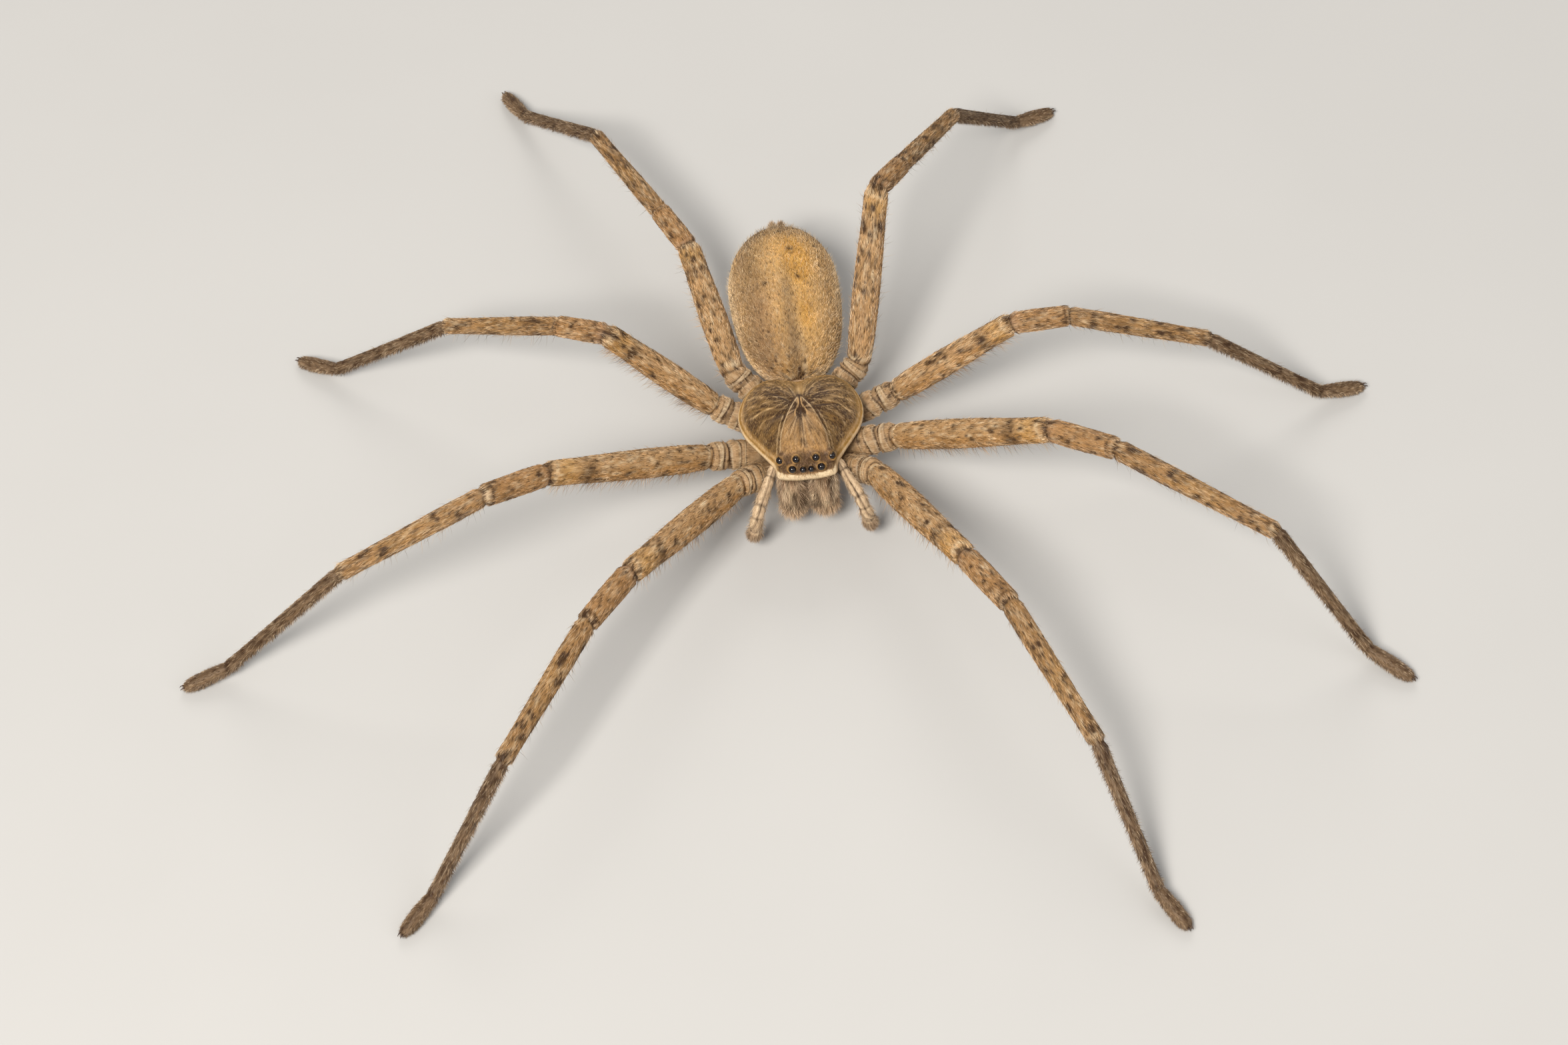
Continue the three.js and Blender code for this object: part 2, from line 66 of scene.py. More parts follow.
# Front body
SHIELD_HALF_OUTLINE = (
    (0, 3.78), (1.0, 4.02), (2.4, 4.12), (3.75, 3.3), (4.6, 1.8), (4.8, 0.4), (4.45, -0.95),
    (3.7, -2.2), (2.95, -3.3), (2.42, -4.2), (2.2, -5.1), (1.1, -5.42), (0, -5.45),
)
SHIELD_COLS = 208
SHIELD_APEX_Y = -0.4
SHIELD_TOP_Z, SHIELD_RIM_Z, SHIELD_UNDER_Z = 8.75, 6.34, 6.1
SHIELD_COAT = 0.07
UNDER_SHARES = np.array((0.985, 0.96, 0.9, 0.7, 0.4, 0.05))
UNDER_RISES = np.array((0.08, 0.03, 0.06, 0.1, 0.1, 0.1))
SIDE_POWER, FRONT_POWER, REAR_POWER = 2.9, 9, 0.5
SIDE_CURVE, FRONT_CURVE = 0.85, 0.62
FOVEA_Y, FOVEA_DEPTH, FOVEA_HALF_WIDTH, FOVEA_HALF_LENGTH = -0.5, 0.2, 0.3, 0.65
FURROWS, FURROW_DEPTH = (32, 66, 98, 134), 0.09
VEINS, VEIN_WIDTH, VEIN_CENTRE_Y, VEIN_HEIGHT = (60, 78, 92, 106, 122, 138, 156), 1.35, 0.5, 0.03
HEAD_HALF_WIDTH = 2.15
HEAD_HEIGHT, HEAD_GROOVE = 0.09, 0.07
BROW_Z = 6.98
FRONT_FACE_Y = -5
UNDER_PROFILE = (
    (0.02, 3.0), (0.4, 3.0), (0.75, 3.03), (0.93, 3.12), (1.0, 3.35), (1.0, 4.2), (1.05, 4.9),
    (1.3, 5.4), (1.62, 5.8), (1.78, 6.02), (1.6, 6.12), (0.8, 6.14), (0.1, 6.14),
)
UNDER_HALF_WIDTH, UNDER_HALF_LENGTH, UNDER_CENTRE_Y = 2.2, 2.85, 0.15

# Rear body
ABDOMEN_ROWS, ABDOMEN_COLS = 190, 200
ABDOMEN_FRONT_Y, ABDOMEN_WIDEST_Y, ABDOMEN_REAR_Y = 4.5, 13.0, 19.75
ABDOMEN_HALF_WIDTH, ABDOMEN_HALF_HEIGHT, ABDOMEN_Z = 4.42, 3.85, 5.65
ABDOMEN_REAR_DROP, ABDOMEN_FRONT_DROP = 0.9, 0.35
ABDOMEN_BLUNTNESS = 2.45
ABDOMEN_SHIFT_X = -0.25
ABDOMEN_COAT = 0.16
ABDOMEN_DOTS = ((-0.1, 17.2), (-0.2, 18.9), (0.45, 14.6), (2.5, 15.4), (0.95, 11.7), (-1.75, 11.4))
ABDOMEN_DOT_RADIUS = 0.2
SPINNERET_CLOCK = (45, 110, 150, 210, 250, 315)
SPINNERET_LENGTH, SPINNERET_RADIUS, SPINNERET_ROWS = 0.8, 0.25, 16
STALK_ENDS, STALK_Z, STALK_RADIUS, STALK_ROWS = (2.6, 5.2), 5.15, 0.5, 12

# Jaws, fangs and palps: middle lines, radii, and profiles as (share of length, share of radius)
JAW_PATH = ((1.2, -4.2, 5.92), (1.2, -4.68, 4.67), (1.2, -4.95, 2.35))
JAW_RADIUS, JAW_COAT, JAW_TOP_Z, JAW_GAP = 1.08, 0.12, 5.95, 0.12
JAW_PROFILE = (
    (0, 0.8), (0.05, 0.93), (0.2, 1.0), (0.45, 1.0), (0.7, 0.93), (0.88, 0.8), (0.97, 0.6), (1, 0.38),
)
FANG_PATH = ((1.15, -5.15, 2.2), (1.02, -5.02, 1.75), (0.66, -4.72, 1.55), (0.22, -4.45, 1.7))
FANG_RADIUS = 0.25
PALP_PATH = (
    (2.42, -3.62, 5.92), (2.72, -4.1, 5.45), (3.15, -5.0, 5.1), (3.75, -6.4, 4.85),
    (4.15, -7.05, 3.7), (4.35, -7.0, 2.5), (4.45, -6.8, 1.5),
)
PALP_RADIUS, PALP_COAT = 0.56, 0.06
PALP_PROFILE = (
    (0, 0.6), (0.06, 0.74), (0.12, 0.66), (0.15, 0.76), (0.42, 0.95), (0.47, 0.78), (0.5, 0.95),
    (0.6, 0.84), (0.63, 0.96), (0.7, 1.0), (0.77, 0.8), (0.8, 0.98), (0.9, 0.96), (0.985, 0.6), (1, 0.3),
)
PALP_JOINTS = (0.12, 0.47, 0.6, 0.77)

# Legs, as in the solids: side, pair, hip joint, lengths, headings and climbs of the segments
HIP_ROOTS = ((2.62, -2.62, 4.0), (2.85, -0.82, 4.0), (2.8, 1.45, 4.0), (2.15, 3.42, 4.1))
LEGS = {
    "right_1": (
        -1, 0, (5.27, -4.48, 5.22), (13.43, 5.48, 12.3, 11.15, 3.5),
        (-130.8, -127.6, -123.5, -134.5, -134.4), (16.9, 4.9, -6.5),
    ),
    "right_2": (
        -1, 1, (7.25, -1.62, 5.25), (14.47, 5.43, 12.55, 12.13, 3.62),
        (-157.1, -150.6, -170.1, -166.1, -165.5), (27.4, 16.9, -23.6),
    ),
    "right_3": (
        -1, 2, (6.41, 3.12, 5.2), (10.86, 4.59, 10.98, 11.0, 3.63),
        (165.4, 146.6, 152.6, 170.7, 148.8), (44.8, -18.6, -23.6),
    ),
    "right_4": (
        -1, 3, (4.77, 5.66, 5.7), (12.53, 4.18, 9.92, 10.78, 3.65),
        (101.5, 118.1, 117.6, 128.0, 116.6), (3.1, 3.8, -1.9),
    ),
    "left_1": (
        1, 0, (5.14, -4.59, 5.19), (13.37, 5.58, 12.08, 11.28, 3.45),
        (-64.0, -60.9, -65.2, -70.4, -57.5), (18.6, 5.3, -13.1),
    ),
    "left_2": (
        1, 1, (6.96, -1.46, 5.25), (14.62, 5.42, 13.04, 12.0, 3.86),
        (-30.1, -33.6, -29.8, -38.9, -40.0), (30.3, 9.7, -16.0),
    ),
    "left_3": (
        1, 2, (7.31, 2.73, 5.2), (10.85, 4.44, 11.02, 10.92, 3.67),
        (4.8, 7.4, -7.3, -6.5, 10.7), (33.6, -6.4, -14.9),
    ),
    "left_4": (
        1, 3, (4.85, 5.49, 5.7), (13.3, 4.11, 10.01, 10.88, 3.49),
        (75.0, 56.7, 58.3, 44.2, 24.0), (39.4, -19.1, -22.7),
    ),
}
ANKLE_Z, TOE_Z = 1.15, 0.34
HIP, FEMUR, PATELLA, TIBIA, METATARSUS, TARSUS = range(6)
SEGMENT_RADIUS = (
    (1.16, 1.2, 1.14, 1.14), (1.18, 1.2, 1.12, 1.14), (0.96, 0.96, 0.9, 0.9),
    (0.86, 0.86, 0.8, 0.8), (0.56, 0.56, 0.53, 0.53), (0.56, 0.56, 0.53, 0.53),
)
SEGMENT_COAT = (0.05, 0.1, 0.07, 0.1, 0.08, 0.07)
SEGMENT_PROFILES = (
    ((0, 0.62), (0.1, 0.8), (0.4, 0.97), (0.6, 1.0), (0.68, 0.86), (0.74, 0.97), (0.92, 0.94), (1, 0.8)),
    ((0, 0.76), (0.03, 0.86), (0.15, 0.96), (0.4, 1.0), (0.6, 0.96), (0.8, 0.88), (0.96, 0.87), (1, 0.72)),
    ((0, 0.8), (0.07, 0.96), (0.35, 1.0), (0.7, 0.97), (0.95, 0.95), (1, 0.8)),
    ((0, 0.82), (0.03, 0.97), (0.25, 1.0), (0.55, 0.93), (0.85, 0.86), (0.97, 0.88), (1, 0.68)),
    ((0, 0.92), (0.04, 1.05), (0.26, 1.0), (0.6, 0.93), (0.9, 0.92), (0.975, 0.97), (1, 0.84)),
    ((0, 0.84), (0.08, 0.93), (0.4, 1.02), (0.7, 1.0), (0.88, 0.85), (0.97, 0.6), (1, 0.3)),
)
LEG_COLS = 40
CORNER_REACH, CORNER_POINTS = 0.42, 9
ROW_STEP, CLOSE_ROWS, WIDE_ROWS, CLOSE_REACH = 0.01, 0.055, 0.14, 0.6
SOFTENING = (0.22, 0.56, 0.22)
THINNEST = 0.05
TARSUS_WIDENING = 0.06
FLOOR_GAP, HAIR_FLOOR_GAP = 0.03, 0.01
CREASE_DEPTH = 0.1
# Hip creases, darkened as painted shade and sunk with the dark marking, then painted highlights on the
# ridges between them: place along the hip and width
HIP_CREASES = ((0.38, 0.008), (0.5, 0.013), (0.67, 0.014), (0.76, 0.016), (0.89, 0.009))
HIP_RIDGE_HIGHLIGHTS = ((0.4, 0.01), (0.53, 0.014), (0.645, 0.012), (0.8, 0.018), (0.865, 0.01))
CLAW_RADIUS, CLAW_SPREAD = 0.062, 0.13
CLAW_CURVE = ((0, 0), (0.2, 0.1), (0.38, 0.04), (0.45, -0.12))

# Small spots: marking, number, radius, strength, length against width
FLECKS = {
    "leg": (("dark", 160, 0.13, 2.2, 1.2), ("dark", 2000, 0.05, 0.9, 3.0), ("pale", 1400, 0.055, 0.7, 4.0)),
    "shield": (("dark", 1500, 0.06, 0.8, 1.3), ("pale", 1500, 0.05, 0.5, 2.4)),
    "under": (("dark", 500, 0.12, 0.3, 1.5),),
    "jaw": (("dark", 200, 0.08, 0.8, 3.0), ("pale", 300, 0.08, 0.55, 4.0)),
    "palp": (("dark", 60, 0.05, 0.6, 4.0),),
    "abdomen": (("dark", 3400, 0.055, 0.6, 1.2), ("pale", 3400, 0.06, 0.65, 1.2)),
}
SEGMENT_FLECKS, LEAST_PALE_FLECKS = np.array((0.45, 1.0, 0.9, 1.0, 0.75, 0.4)), 0.4

# Corners of one hair: across, above and share of its length, with the corner's place on its patch
STRAIGHT_HAIR = {
    "corners": ((-0.5, -0.25, 0), (0.5, -0.25, 0), (0, 0.45, 0), (0, 0, 1)),
    "patch": ((-1, -1), (1, -1), (0, -0.4), (0, 1)),
    "faces": ((0, 1, 3), (1, 2, 3), (2, 0, 3), (0, 2, 1)),
}
BENT_HAIR = {
    "corners": (
        (-0.5, -0.25, 0), (0.5, -0.25, 0), (0, 0.45, 0),
        (-0.36, -0.2, 0.5), (0.36, -0.2, 0.5), (0, 0.32, 0.5), (0, 0, 1),
    ),
    "patch": ((-1, -1), (1, -1), (0, -0.6), (-0.6, 0), (0.6, 0), (0, 0.2), (0, 1)),
    "faces": (
        (0, 1, 4), (0, 4, 3), (1, 2, 5), (1, 5, 4), (2, 0, 3), (2, 3, 5),
        (3, 4, 6), (4, 5, 6), (5, 3, 6), (0, 2, 1),
    ),
}
PATCH_HALF = 0.0015
HAIR_SINK = 0.02
# How far one hair's length, width, lift and bend may be from its kind's, as shares
LENGTH_RANGE, WIDTH_RANGE, LIFT_RANGE, BEND_RANGE = (0.72, 1.25), (0.75, 1.25), (0.6, 1.4), (0.5, 1.5)

# Kinds of hair: number on a piece, length, width, then in degrees the lift above the skin at the
# root, what is added by the tip, and the sideways scatter. Six values are one for each segment.
HAIRS = {
    "leg_short": (
        17800, (0.3, 0.38, 0.36, 0.42, 0.42, 0.28),
        (0.032, 0.05, 0.048, 0.048, 0.042, 0.042), (11, 6, 6, 6, 9, 18), 0, 8,
    ),
    "leg_dash": (1800, 0.34, 0.05, 8, 0, 7),
    "leg_stand": (1300, (0.3, 0.6, 0.45, 0.7, 0.6, 0.4), 0.018, (30, 30, 28, 26, 32, 40), -14, 16),
    "leg_fringe": (480, 1.0, 0.02, 62, -10, 18),
    "leg_pad": (2600, (0.3, 0.3, 0.3, 0.3, 0.36, 0.3), 0.036, 58, 0, 25),
    "shield_short": (26000, 0.26, 0.026, 8, 0, 14),
    "shield_crest": (260, 0.4, 0.018, 34, -10, 20),
    "eye_frost": (1100, 0.16, 0.022, 20, 0, 30),
    "eye_brow": (420, 0.3, 0.018, 36, -12, 25),
    "shield_edge": (600, 0.12, 0.02, 25, 0, 25),
    "under": (6500, 0.36, 0.034, 14, 0, 26),
    "stalk": (500, 0.7, 0.03, 42, -12, 25),
    "jaw_dense": (8500, 0.55, 0.036, 12, 0, 12),
    "jaw_fringe": (1700, 1.05, 0.024, 38, -14, 28),
    "jaw_inner": (2000, 0.66, 0.03, 44, -10, 20),
    "jaw_long": (1300, 0.8, 0.022, 26, -12, 14),
    "palp_short": (3800, 0.24, 0.024, 8, 0, 10),
    "palp_long": (1500, 0.5, 0.018, 34, -14, 22),
    "abdomen_short": (38000, 0.24, 0.05, 14, 0, 28),
    "abdomen_fuzz": (4300, 0.48, 0.018, 44, -12, 25),
    "spinneret": (420, 0.42, 0.02, 36, -10, 26),
}
FORWARD, FORWARD_AND_UP = (0.0, -1.0, 0.0), (0.0, -1.0, 0.3)

# Colours that the markings mix in, then the base colours of the parts
COLOURS = {
    "warm": (0.66, 0.36, 0.085, 1),
    "grey": (0.19, 0.13, 0.08, 1),
    "pink": (0.50, 0.29, 0.17, 1),
    "pale": (0.82, 0.65, 0.42, 1),
    "dark": (0.050, 0.024, 0.010, 1),
}
TAN = (0.53, 0.285, 0.10, 1)
SHIELD_TAN, SHIELD_GOLD = (0.43, 0.235, 0.06, 1), (0.72, 0.48, 0.19, 1)
JAW_TAN = (0.45, 0.28, 0.155, 1)
PALP_TAN = (0.5, 0.33, 0.185, 1)
ABDOMEN_TAN, ABDOMEN_GOLD = (0.68, 0.405, 0.15, 1), (0.88, 0.64, 0.31, 1)
# Painted shade: colour that darkens each hair towards its root
HAIR_ROOT_SHADE = (0.12, 0.06, 0.02, 1)
WHITE = (1.0, 1.0, 1.0, 1)
# Skins: base colour, roughness, darkness of the painted shade between the hairs
SKIN_LOOKS = {
    "leg": (TAN, 0.55, 0.26),
    "shield": (SHIELD_TAN, 0.52, 0.0),
    "under": (TAN, 0.55, 0.0),
    "jaw": (JAW_TAN, 0.55, 0.35),
    "palp": (PALP_TAN, 0.55, 0.0),
    "abdomen": (ABDOMEN_TAN, 0.55, 0.25),
}
# Coats: base colour, brightness of the deepest and the lightest hairs, colour of the palest ones
COAT_LOOKS = {
    "leg": (TAN, 0.38, 2.0, COLOURS["pale"]),
    "shield": (SHIELD_TAN, 0.5, 1.6, SHIELD_GOLD),
    "jaw": (JAW_TAN, 0.35, 2.1, COLOURS["pale"]),
    "palp": (PALP_TAN, 0.5, 1.6, COLOURS["pale"]),
    "abdomen": (ABDOMEN_TAN, 0.55, 1.95, ABDOMEN_GOLD),
}
# Hard parts: colour, roughness, clear coat
HARD_LOOKS = {
    "claw": ((0.03, 0.014, 0.008, 1), 0.25, 0.0),
    "fang": ((0.035, 0.012, 0.007, 1), 0.18, 0.5),
    "eye": ((0.005, 0.003, 0.003, 1), 0.07, 0.0),
}
SLOTS = {
    "leg": "leg_femur", "shield": "carapace_shield", "under": "underside",
    "jaw": "jaw_bristles", "palp": "palp_hair", "abdomen": "abdomen_coat",
}

# Camera, from the photograph's joints: it looks down on the animal from in front
CAMERA_ELEVATION, CAMERA_AZIMUTH, CAMERA_ROLL = 54.5, -0.4, -5.5
CAMERA_DISTANCE = 304.8
CAMERA_AIM = (-2.1, -8.2, 5.0)
CAMERA_LENS, CAMERA_SENSOR = 94.04, 36.0
CAMERA_CLIP = (0.01, 20)

# Lights: place in metres, power, size, colour
LIGHTS = {
    "key": ((-0.16, -0.3, 0.44), 4.1, 0.2, (1.0, 0.97, 0.93)),
    "fill": ((0.45, -0.3, 0.35), 0.7, 0.4, (0.95, 0.97, 1.0)),
    "back": ((0.05, 0.5, 0.35), 1.3, 0.3, (1.0, 0.98, 0.95)),
}
SKY_COLOUR, SKY_STRENGTH = (0.97, 0.98, 1.0, 1), 0.33
FLOOR_HALF = 3.0
FLOOR_COLOURS = (0.45, 0.437, 0.415, 1), (0.48, 0.467, 0.445, 1)


def unit(v):
    return v / np.maximum(np.linalg.norm(v, axis=-1, keepdims=True), 1e-12)


def smooth(low, high, x):
    """0 before low and 1 after high, with a soft step between them."""
    t = np.clip((x - low) / (high - low), 0, 1)
    return t * t * (3 - 2 * t)


def bell(x, centre, width):
    return np.exp(-(((x - centre) / width) ** 2))


def turns(cols):
    """Angle of each column round a skin."""
    return np.linspace(0, FULL_TURN, cols, endpoint=False)


def follow(profile, share):
    return np.interp(share, *np.array(profile).T)


def catmull_rom(points, count, closed=False):
    """Points evenly spaced on a centripetal curve through the given ones."""
    p = np.array(points, float)
    p = np.vstack([p[-1:], p, p[:2]] if closed else [2 * p[0] - p[1], p, 2 * p[-1] - p[-2]])
    fine = []
    for near in zip(p[:-3], p[1:-2], p[2:-1], p[3:]):
        knots = [0.0]
        for a, b in zip(near, near[1:]):
            knots.append(knots[-1] + np.linalg.norm(b - a) ** 0.5)
        t = np.linspace(knots[1], knots[2], 40, endpoint=False)[:, None]
        for spans in CURVE_SPANS:
            near = [
                ((knots[last] - t) * a + (t - knots[first]) * b) / (knots[last] - knots[first])
                for (first, last), a, b in zip(spans, near, near[1:])
            ]
        fine.append(near[0])
    fine.append(p[-2:-1])
    return even_points(np.vstack(fine), count, closed)


def even_points(line, count, closed=False):
    steps = np.r_[0, np.cumsum(np.linalg.norm(np.diff(line, axis=0), axis=1))]
    at = np.linspace(0, steps[-1], count + 1)[:-1] if closed else np.linspace(0, steps[-1], count)
    return np.stack([np.interp(at, steps, line[:, k]) for k in range(line.shape[1])], -1)


def no_masks(shape):
    return {name: np.zeros(shape) for name in MASKS}


def mark(masks, **values):
    for key, value in values.items():
        masks[key] = masks[key] + value


class Skin:
    """A closed surface on a grid: rows run along it and columns once round it."""

    def __init__(self, points, masks):
        self.points = points
        self.masks = {name: np.clip(value, 0, 1) for name, value in masks.items()}
        ahead = np.gradient(points, axis=0)
        around = (np.roll(points, -1, 1) - np.roll(points, 1, 1)) / 2
        raw = np.cross(ahead, around)
        self.area = np.linalg.norm(raw, axis=-1)
        outward = points - points.mean(axis=1, keepdims=True)
        self.turn = np.sign(np.sum(raw * outward))
        self.normal = unit(raw * self.turn)
        self.ahead = unit(ahead)

    def mesh(self, name):
        rows, cols = self.points.shape[:2]
        ends = np.stack([self.points[0].mean(0), self.points[-1].mean(0)])
        points = np.vstack([self.points.reshape(-1, 3), ends])
        grid = np.arange(rows * cols).reshape(rows, cols)
        after = np.roll(grid, -1, 1)
        a, b, d, e = grid[:-1], after[:-1], after[1:], grid[1:]
        faces = np.stack([np.stack([a, e, b], -1), np.stack([b, e, d], -1)]).reshape(-1, 3)
        first = np.stack([np.full(cols, rows * cols), grid[0], after[0]], -1)
        last = np.stack([np.full(cols, rows * cols + 1), after[-1], grid[-1]], -1)
        faces = np.vstack([faces, first, last])
        if self.turn < 0:
            faces = faces[:, ::-1]
        attributes = {}
        for key, value in self.masks.items():
            attributes[key] = np.r_[value.ravel(), value[0].mean(), value[-1].mean()]
        return build_mesh(name, points, faces, attributes, smooth_faces=True)

    def roots(self, count, density=None):
        """Random places for hairs, spread by area, with all that the hairs need to know there."""
        weight = self.area if density is None else self.area * density
        weight = weight[:-1]
        share = np.cumsum(weight.ravel())
        cell = np.searchsorted(share, rng.random(count) * share[-1])
        row = cell // weight.shape[1] + rng.random(count)
        col = cell % weight.shape[1] + rng.random(count)
        found = {"row": row}
        for key in ("points", "normal", "ahead"):
            found[key] = self.at(getattr(self, key), row, col)
        found["masks"] = {key: self.at(value, row, col) for key, value in self.masks.items()}
        rows, cols = self.points.shape[:2]
        found["uv"] = np.stack([row / (rows - 1), col / cols], -1) * 0.99 + 0.005
        return found

    def at(self, field, row, col):
        rows, cols = field.shape[:2]
        r0 = np.minimum(row.astype(int), rows - 2)
        c0 = col.astype(int) % cols
        c1 = (c0 + 1) % cols
        fr, fc = row - r0, col - np.floor(col)
        if field.ndim == 3:
            fr, fc = fr[:, None], fc[:, None]
        near = field[r0, c0] * (1 - fc) + field[r0, c1] * fc
        far = field[r0 + 1, c0] * (1 - fc) + field[r0 + 1, c1] * fc
        return near * (1 - fr) + far * fr

    def row_shares(self):
        """Share of the way along the skin, in one column."""
        rows = len(self.points)
        return np.arange(rows)[:, None] / rows


def add_object(name, data):
    piece = bpy.data.objects.new(name, data)
    bpy.context.scene.collection.objects.link(piece)
    return piece


def build_mesh(name, points, faces, attributes, uv=None, smooth_faces=False):
    mesh = bpy.data.meshes.new(name)
    mesh.vertices.add(len(points))
    mesh.vertices.foreach_set("co", ((points + BODY_ORIGIN) * MM).astype(np.float32).ravel())
    mesh.loops.add(len(faces) * 3)
    mesh.loops.foreach_set("vertex_index", faces.astype(np.int32).ravel())
    mesh.polygons.add(len(faces))
    mesh.polygons.foreach_set("loop_start", np.arange(0, len(faces) * 3, 3, dtype=np.int32))
    mesh.update(calc_edges=True)
    mesh.polygons.foreach_set("use_smooth", np.full(len(faces), smooth_faces))
    for key, value in attributes.items():
        layer = mesh.attributes.new(key, "FLOAT", "POINT")
        layer.data.foreach_set("value", value.astype(np.float32))
    if uv is not None:
        layer = mesh.uv_layers.new(name="OFBake")
        layer.data.foreach_set("uv", uv[faces.ravel()].astype(np.float32).ravel())
    mesh.validate()
    return add_object(name, mesh)


def settled(value, roots):
    """The value, or what a function makes of the roots."""
    return value(roots) if callable(value) else value


def per_segment(skin, roots, value):
    """One value for each hair, where there is one for each kind of segment."""
    if not isinstance(value, tuple):
        return value
    row = np.minimum(roots["row"].astype(int), len(skin.segment) - 1)
    return np.array(value)[skin.segment[row]]


def grow(skin, kind, density=None, lie=None, paint=None, more=(0, 0), sink=HAIR_SINK):
    """Arrays of one set of hairs. They point along the skin unless lie gives a direction. Paint gives
    other markings than those at the roots, and more what is added to the length and to the lift."""
    count, length, width, lift, bend, scatter = HAIRS[kind]
    shape = BENT_HAIR if bend else STRAIGHT_HAIR
    roots = skin.roots(count, density)
    for key, value in (settled(paint, roots) or {}).items():
        roots["masks"][key] = np.broadcast_to(value, count)
    length, width, lift = (per_segment(skin, roots, value) for value in (length, width, lift))
    longer, steeper = settled(more, roots)
    normal = roots["normal"]
    lie = roots["ahead"] if lie is None else np.array(settled(lie, roots))
    lie = unit(lie - normal * np.sum(lie * normal, -1, keepdims=True))
    side = np.cross(normal, lie)
    swing = np.radians(rng.normal(0, scatter, count))[:, None]
    ahead = lie * np.cos(swing) + side * np.sin(swing)
    side = np.cross(normal, ahead)
    length = (length + longer) * rng.uniform(*LENGTH_RANGE, count)
    width = width * rng.uniform(*WIDTH_RANGE, count)
    first = np.radians((lift + steeper) * rng.uniform(*LIFT_RANGE, count))
    last = first + np.radians(bend * rng.uniform(*BEND_RANGE, count))
    tone = rng.random(count)
    base = roots["points"] - normal * sink

    def step(angle):
        return ahead * np.cos(angle)[:, None] + normal * np.sin(angle)[:, None]

    if bend:
        mid = base + step(first) * (length * 0.5)[:, None]
        stations = {0: base, 0.5: mid, 1: mid + step(last) * (length * 0.5)[:, None]}
    else:
        stations = {0: base, 1: base + step(first) * length[:, None]}
    above = normal * np.cos(first)[:, None] - ahead * np.sin(first)[:, None]
    points, along, uv = [], [], []
    for (across, high, share), patch in zip(shape["corners"], shape["patch"]):
        offset = side * (across * width)[:, None] + above * (high * width)[:, None]
        points.append(stations[share] + offset)
        along.append(np.full(count, float(share)))
        uv.append(roots["uv"] + np.array(patch) * PATCH_HALF)
    corners = len(points)
    faces = np.arange(count)[:, None, None] * corners + np.array(shape["faces"])[None]
    attributes = {key: np.repeat(value, corners) for key, value in roots["masks"].items()}
    attributes["tone"] = np.repeat(tone, corners)
    attributes["along"] = np.stack(along, 1).ravel()
    return {
        "points": np.stack(points, 1).reshape(-1, 3),
        "faces": faces.reshape(-1, 3),
        "attributes": attributes,
        "uv": np.stack(uv, 1).reshape(-1, 2),
    }


def build_coat(name, sets):
    start, faces = 0, []
    for part in sets:
        faces.append(part["faces"] + start)
        start += len(part["points"])
    attributes = {
        key: np.concatenate([part["attributes"][key] for part in sets])
        for key in sets[0]["attributes"]
    }
    points = np.vstack([part["points"] for part in sets])
    points[:, 2] = np.maximum(points[:, 2], HAIR_FLOOR_GAP)
    uv = np.vstack([part["uv"] for part in sets])
    return build_mesh(name, points, np.vstack(faces), attributes, uv)


def tube(path, radii, cols, wide=1.0, across=None):
    """Grid of points round a path, one row at each of its points, the first column on top."""
    ahead = unit(np.gradient(path, axis=0))
    across = unit(np.cross(ahead, UP)) if across is None else np.tile(across, (len(path), 1))
    above = np.cross(across, ahead)
    turn = turns(cols)
    wide = np.broadcast_to(wide, len(path))[:, None, None]
    ring = across[:, None] * np.sin(turn)[None, :, None] * wide
    ring = ring + above[:, None] * np.cos(turn)[None, :, None]
    return path[:, None] + ring * radii[:, None, None], turn


def add_flecks(points, masks, part):
    """Adds a part's small spots at random places of a grid, longer along the rows than across."""
    cols = points.shape[1]
    middle = points.mean(1)
    along = np.r_[0, np.cumsum(np.linalg.norm(np.diff(middle, axis=0), axis=1))]
    girth = np.linalg.norm(np.diff(points, axis=1), axis=-1).mean(1)
    for key, count, radius, strength, stretch in FLECKS[part]:
        for _ in range(count):
            place, column = rng.random() * along[-1], rng.random() * cols
            size = radius * rng.uniform(0.6, 1.5)
            reach = 3 * size * stretch
            low, high = np.searchsorted(along, (place - reach, place + reach))
            lengthways = (along[low:high, None] - place) / size / stretch
            steps = (np.arange(cols)[None] - column + cols / 2) % cols - cols / 2
            sideways = steps * girth[low:high, None] / size
            spot = np.exp(-(lengthways ** 2) - sideways ** 2)
            masks[key][low:high] += strength * rng.uniform(0.5, 1) * spot


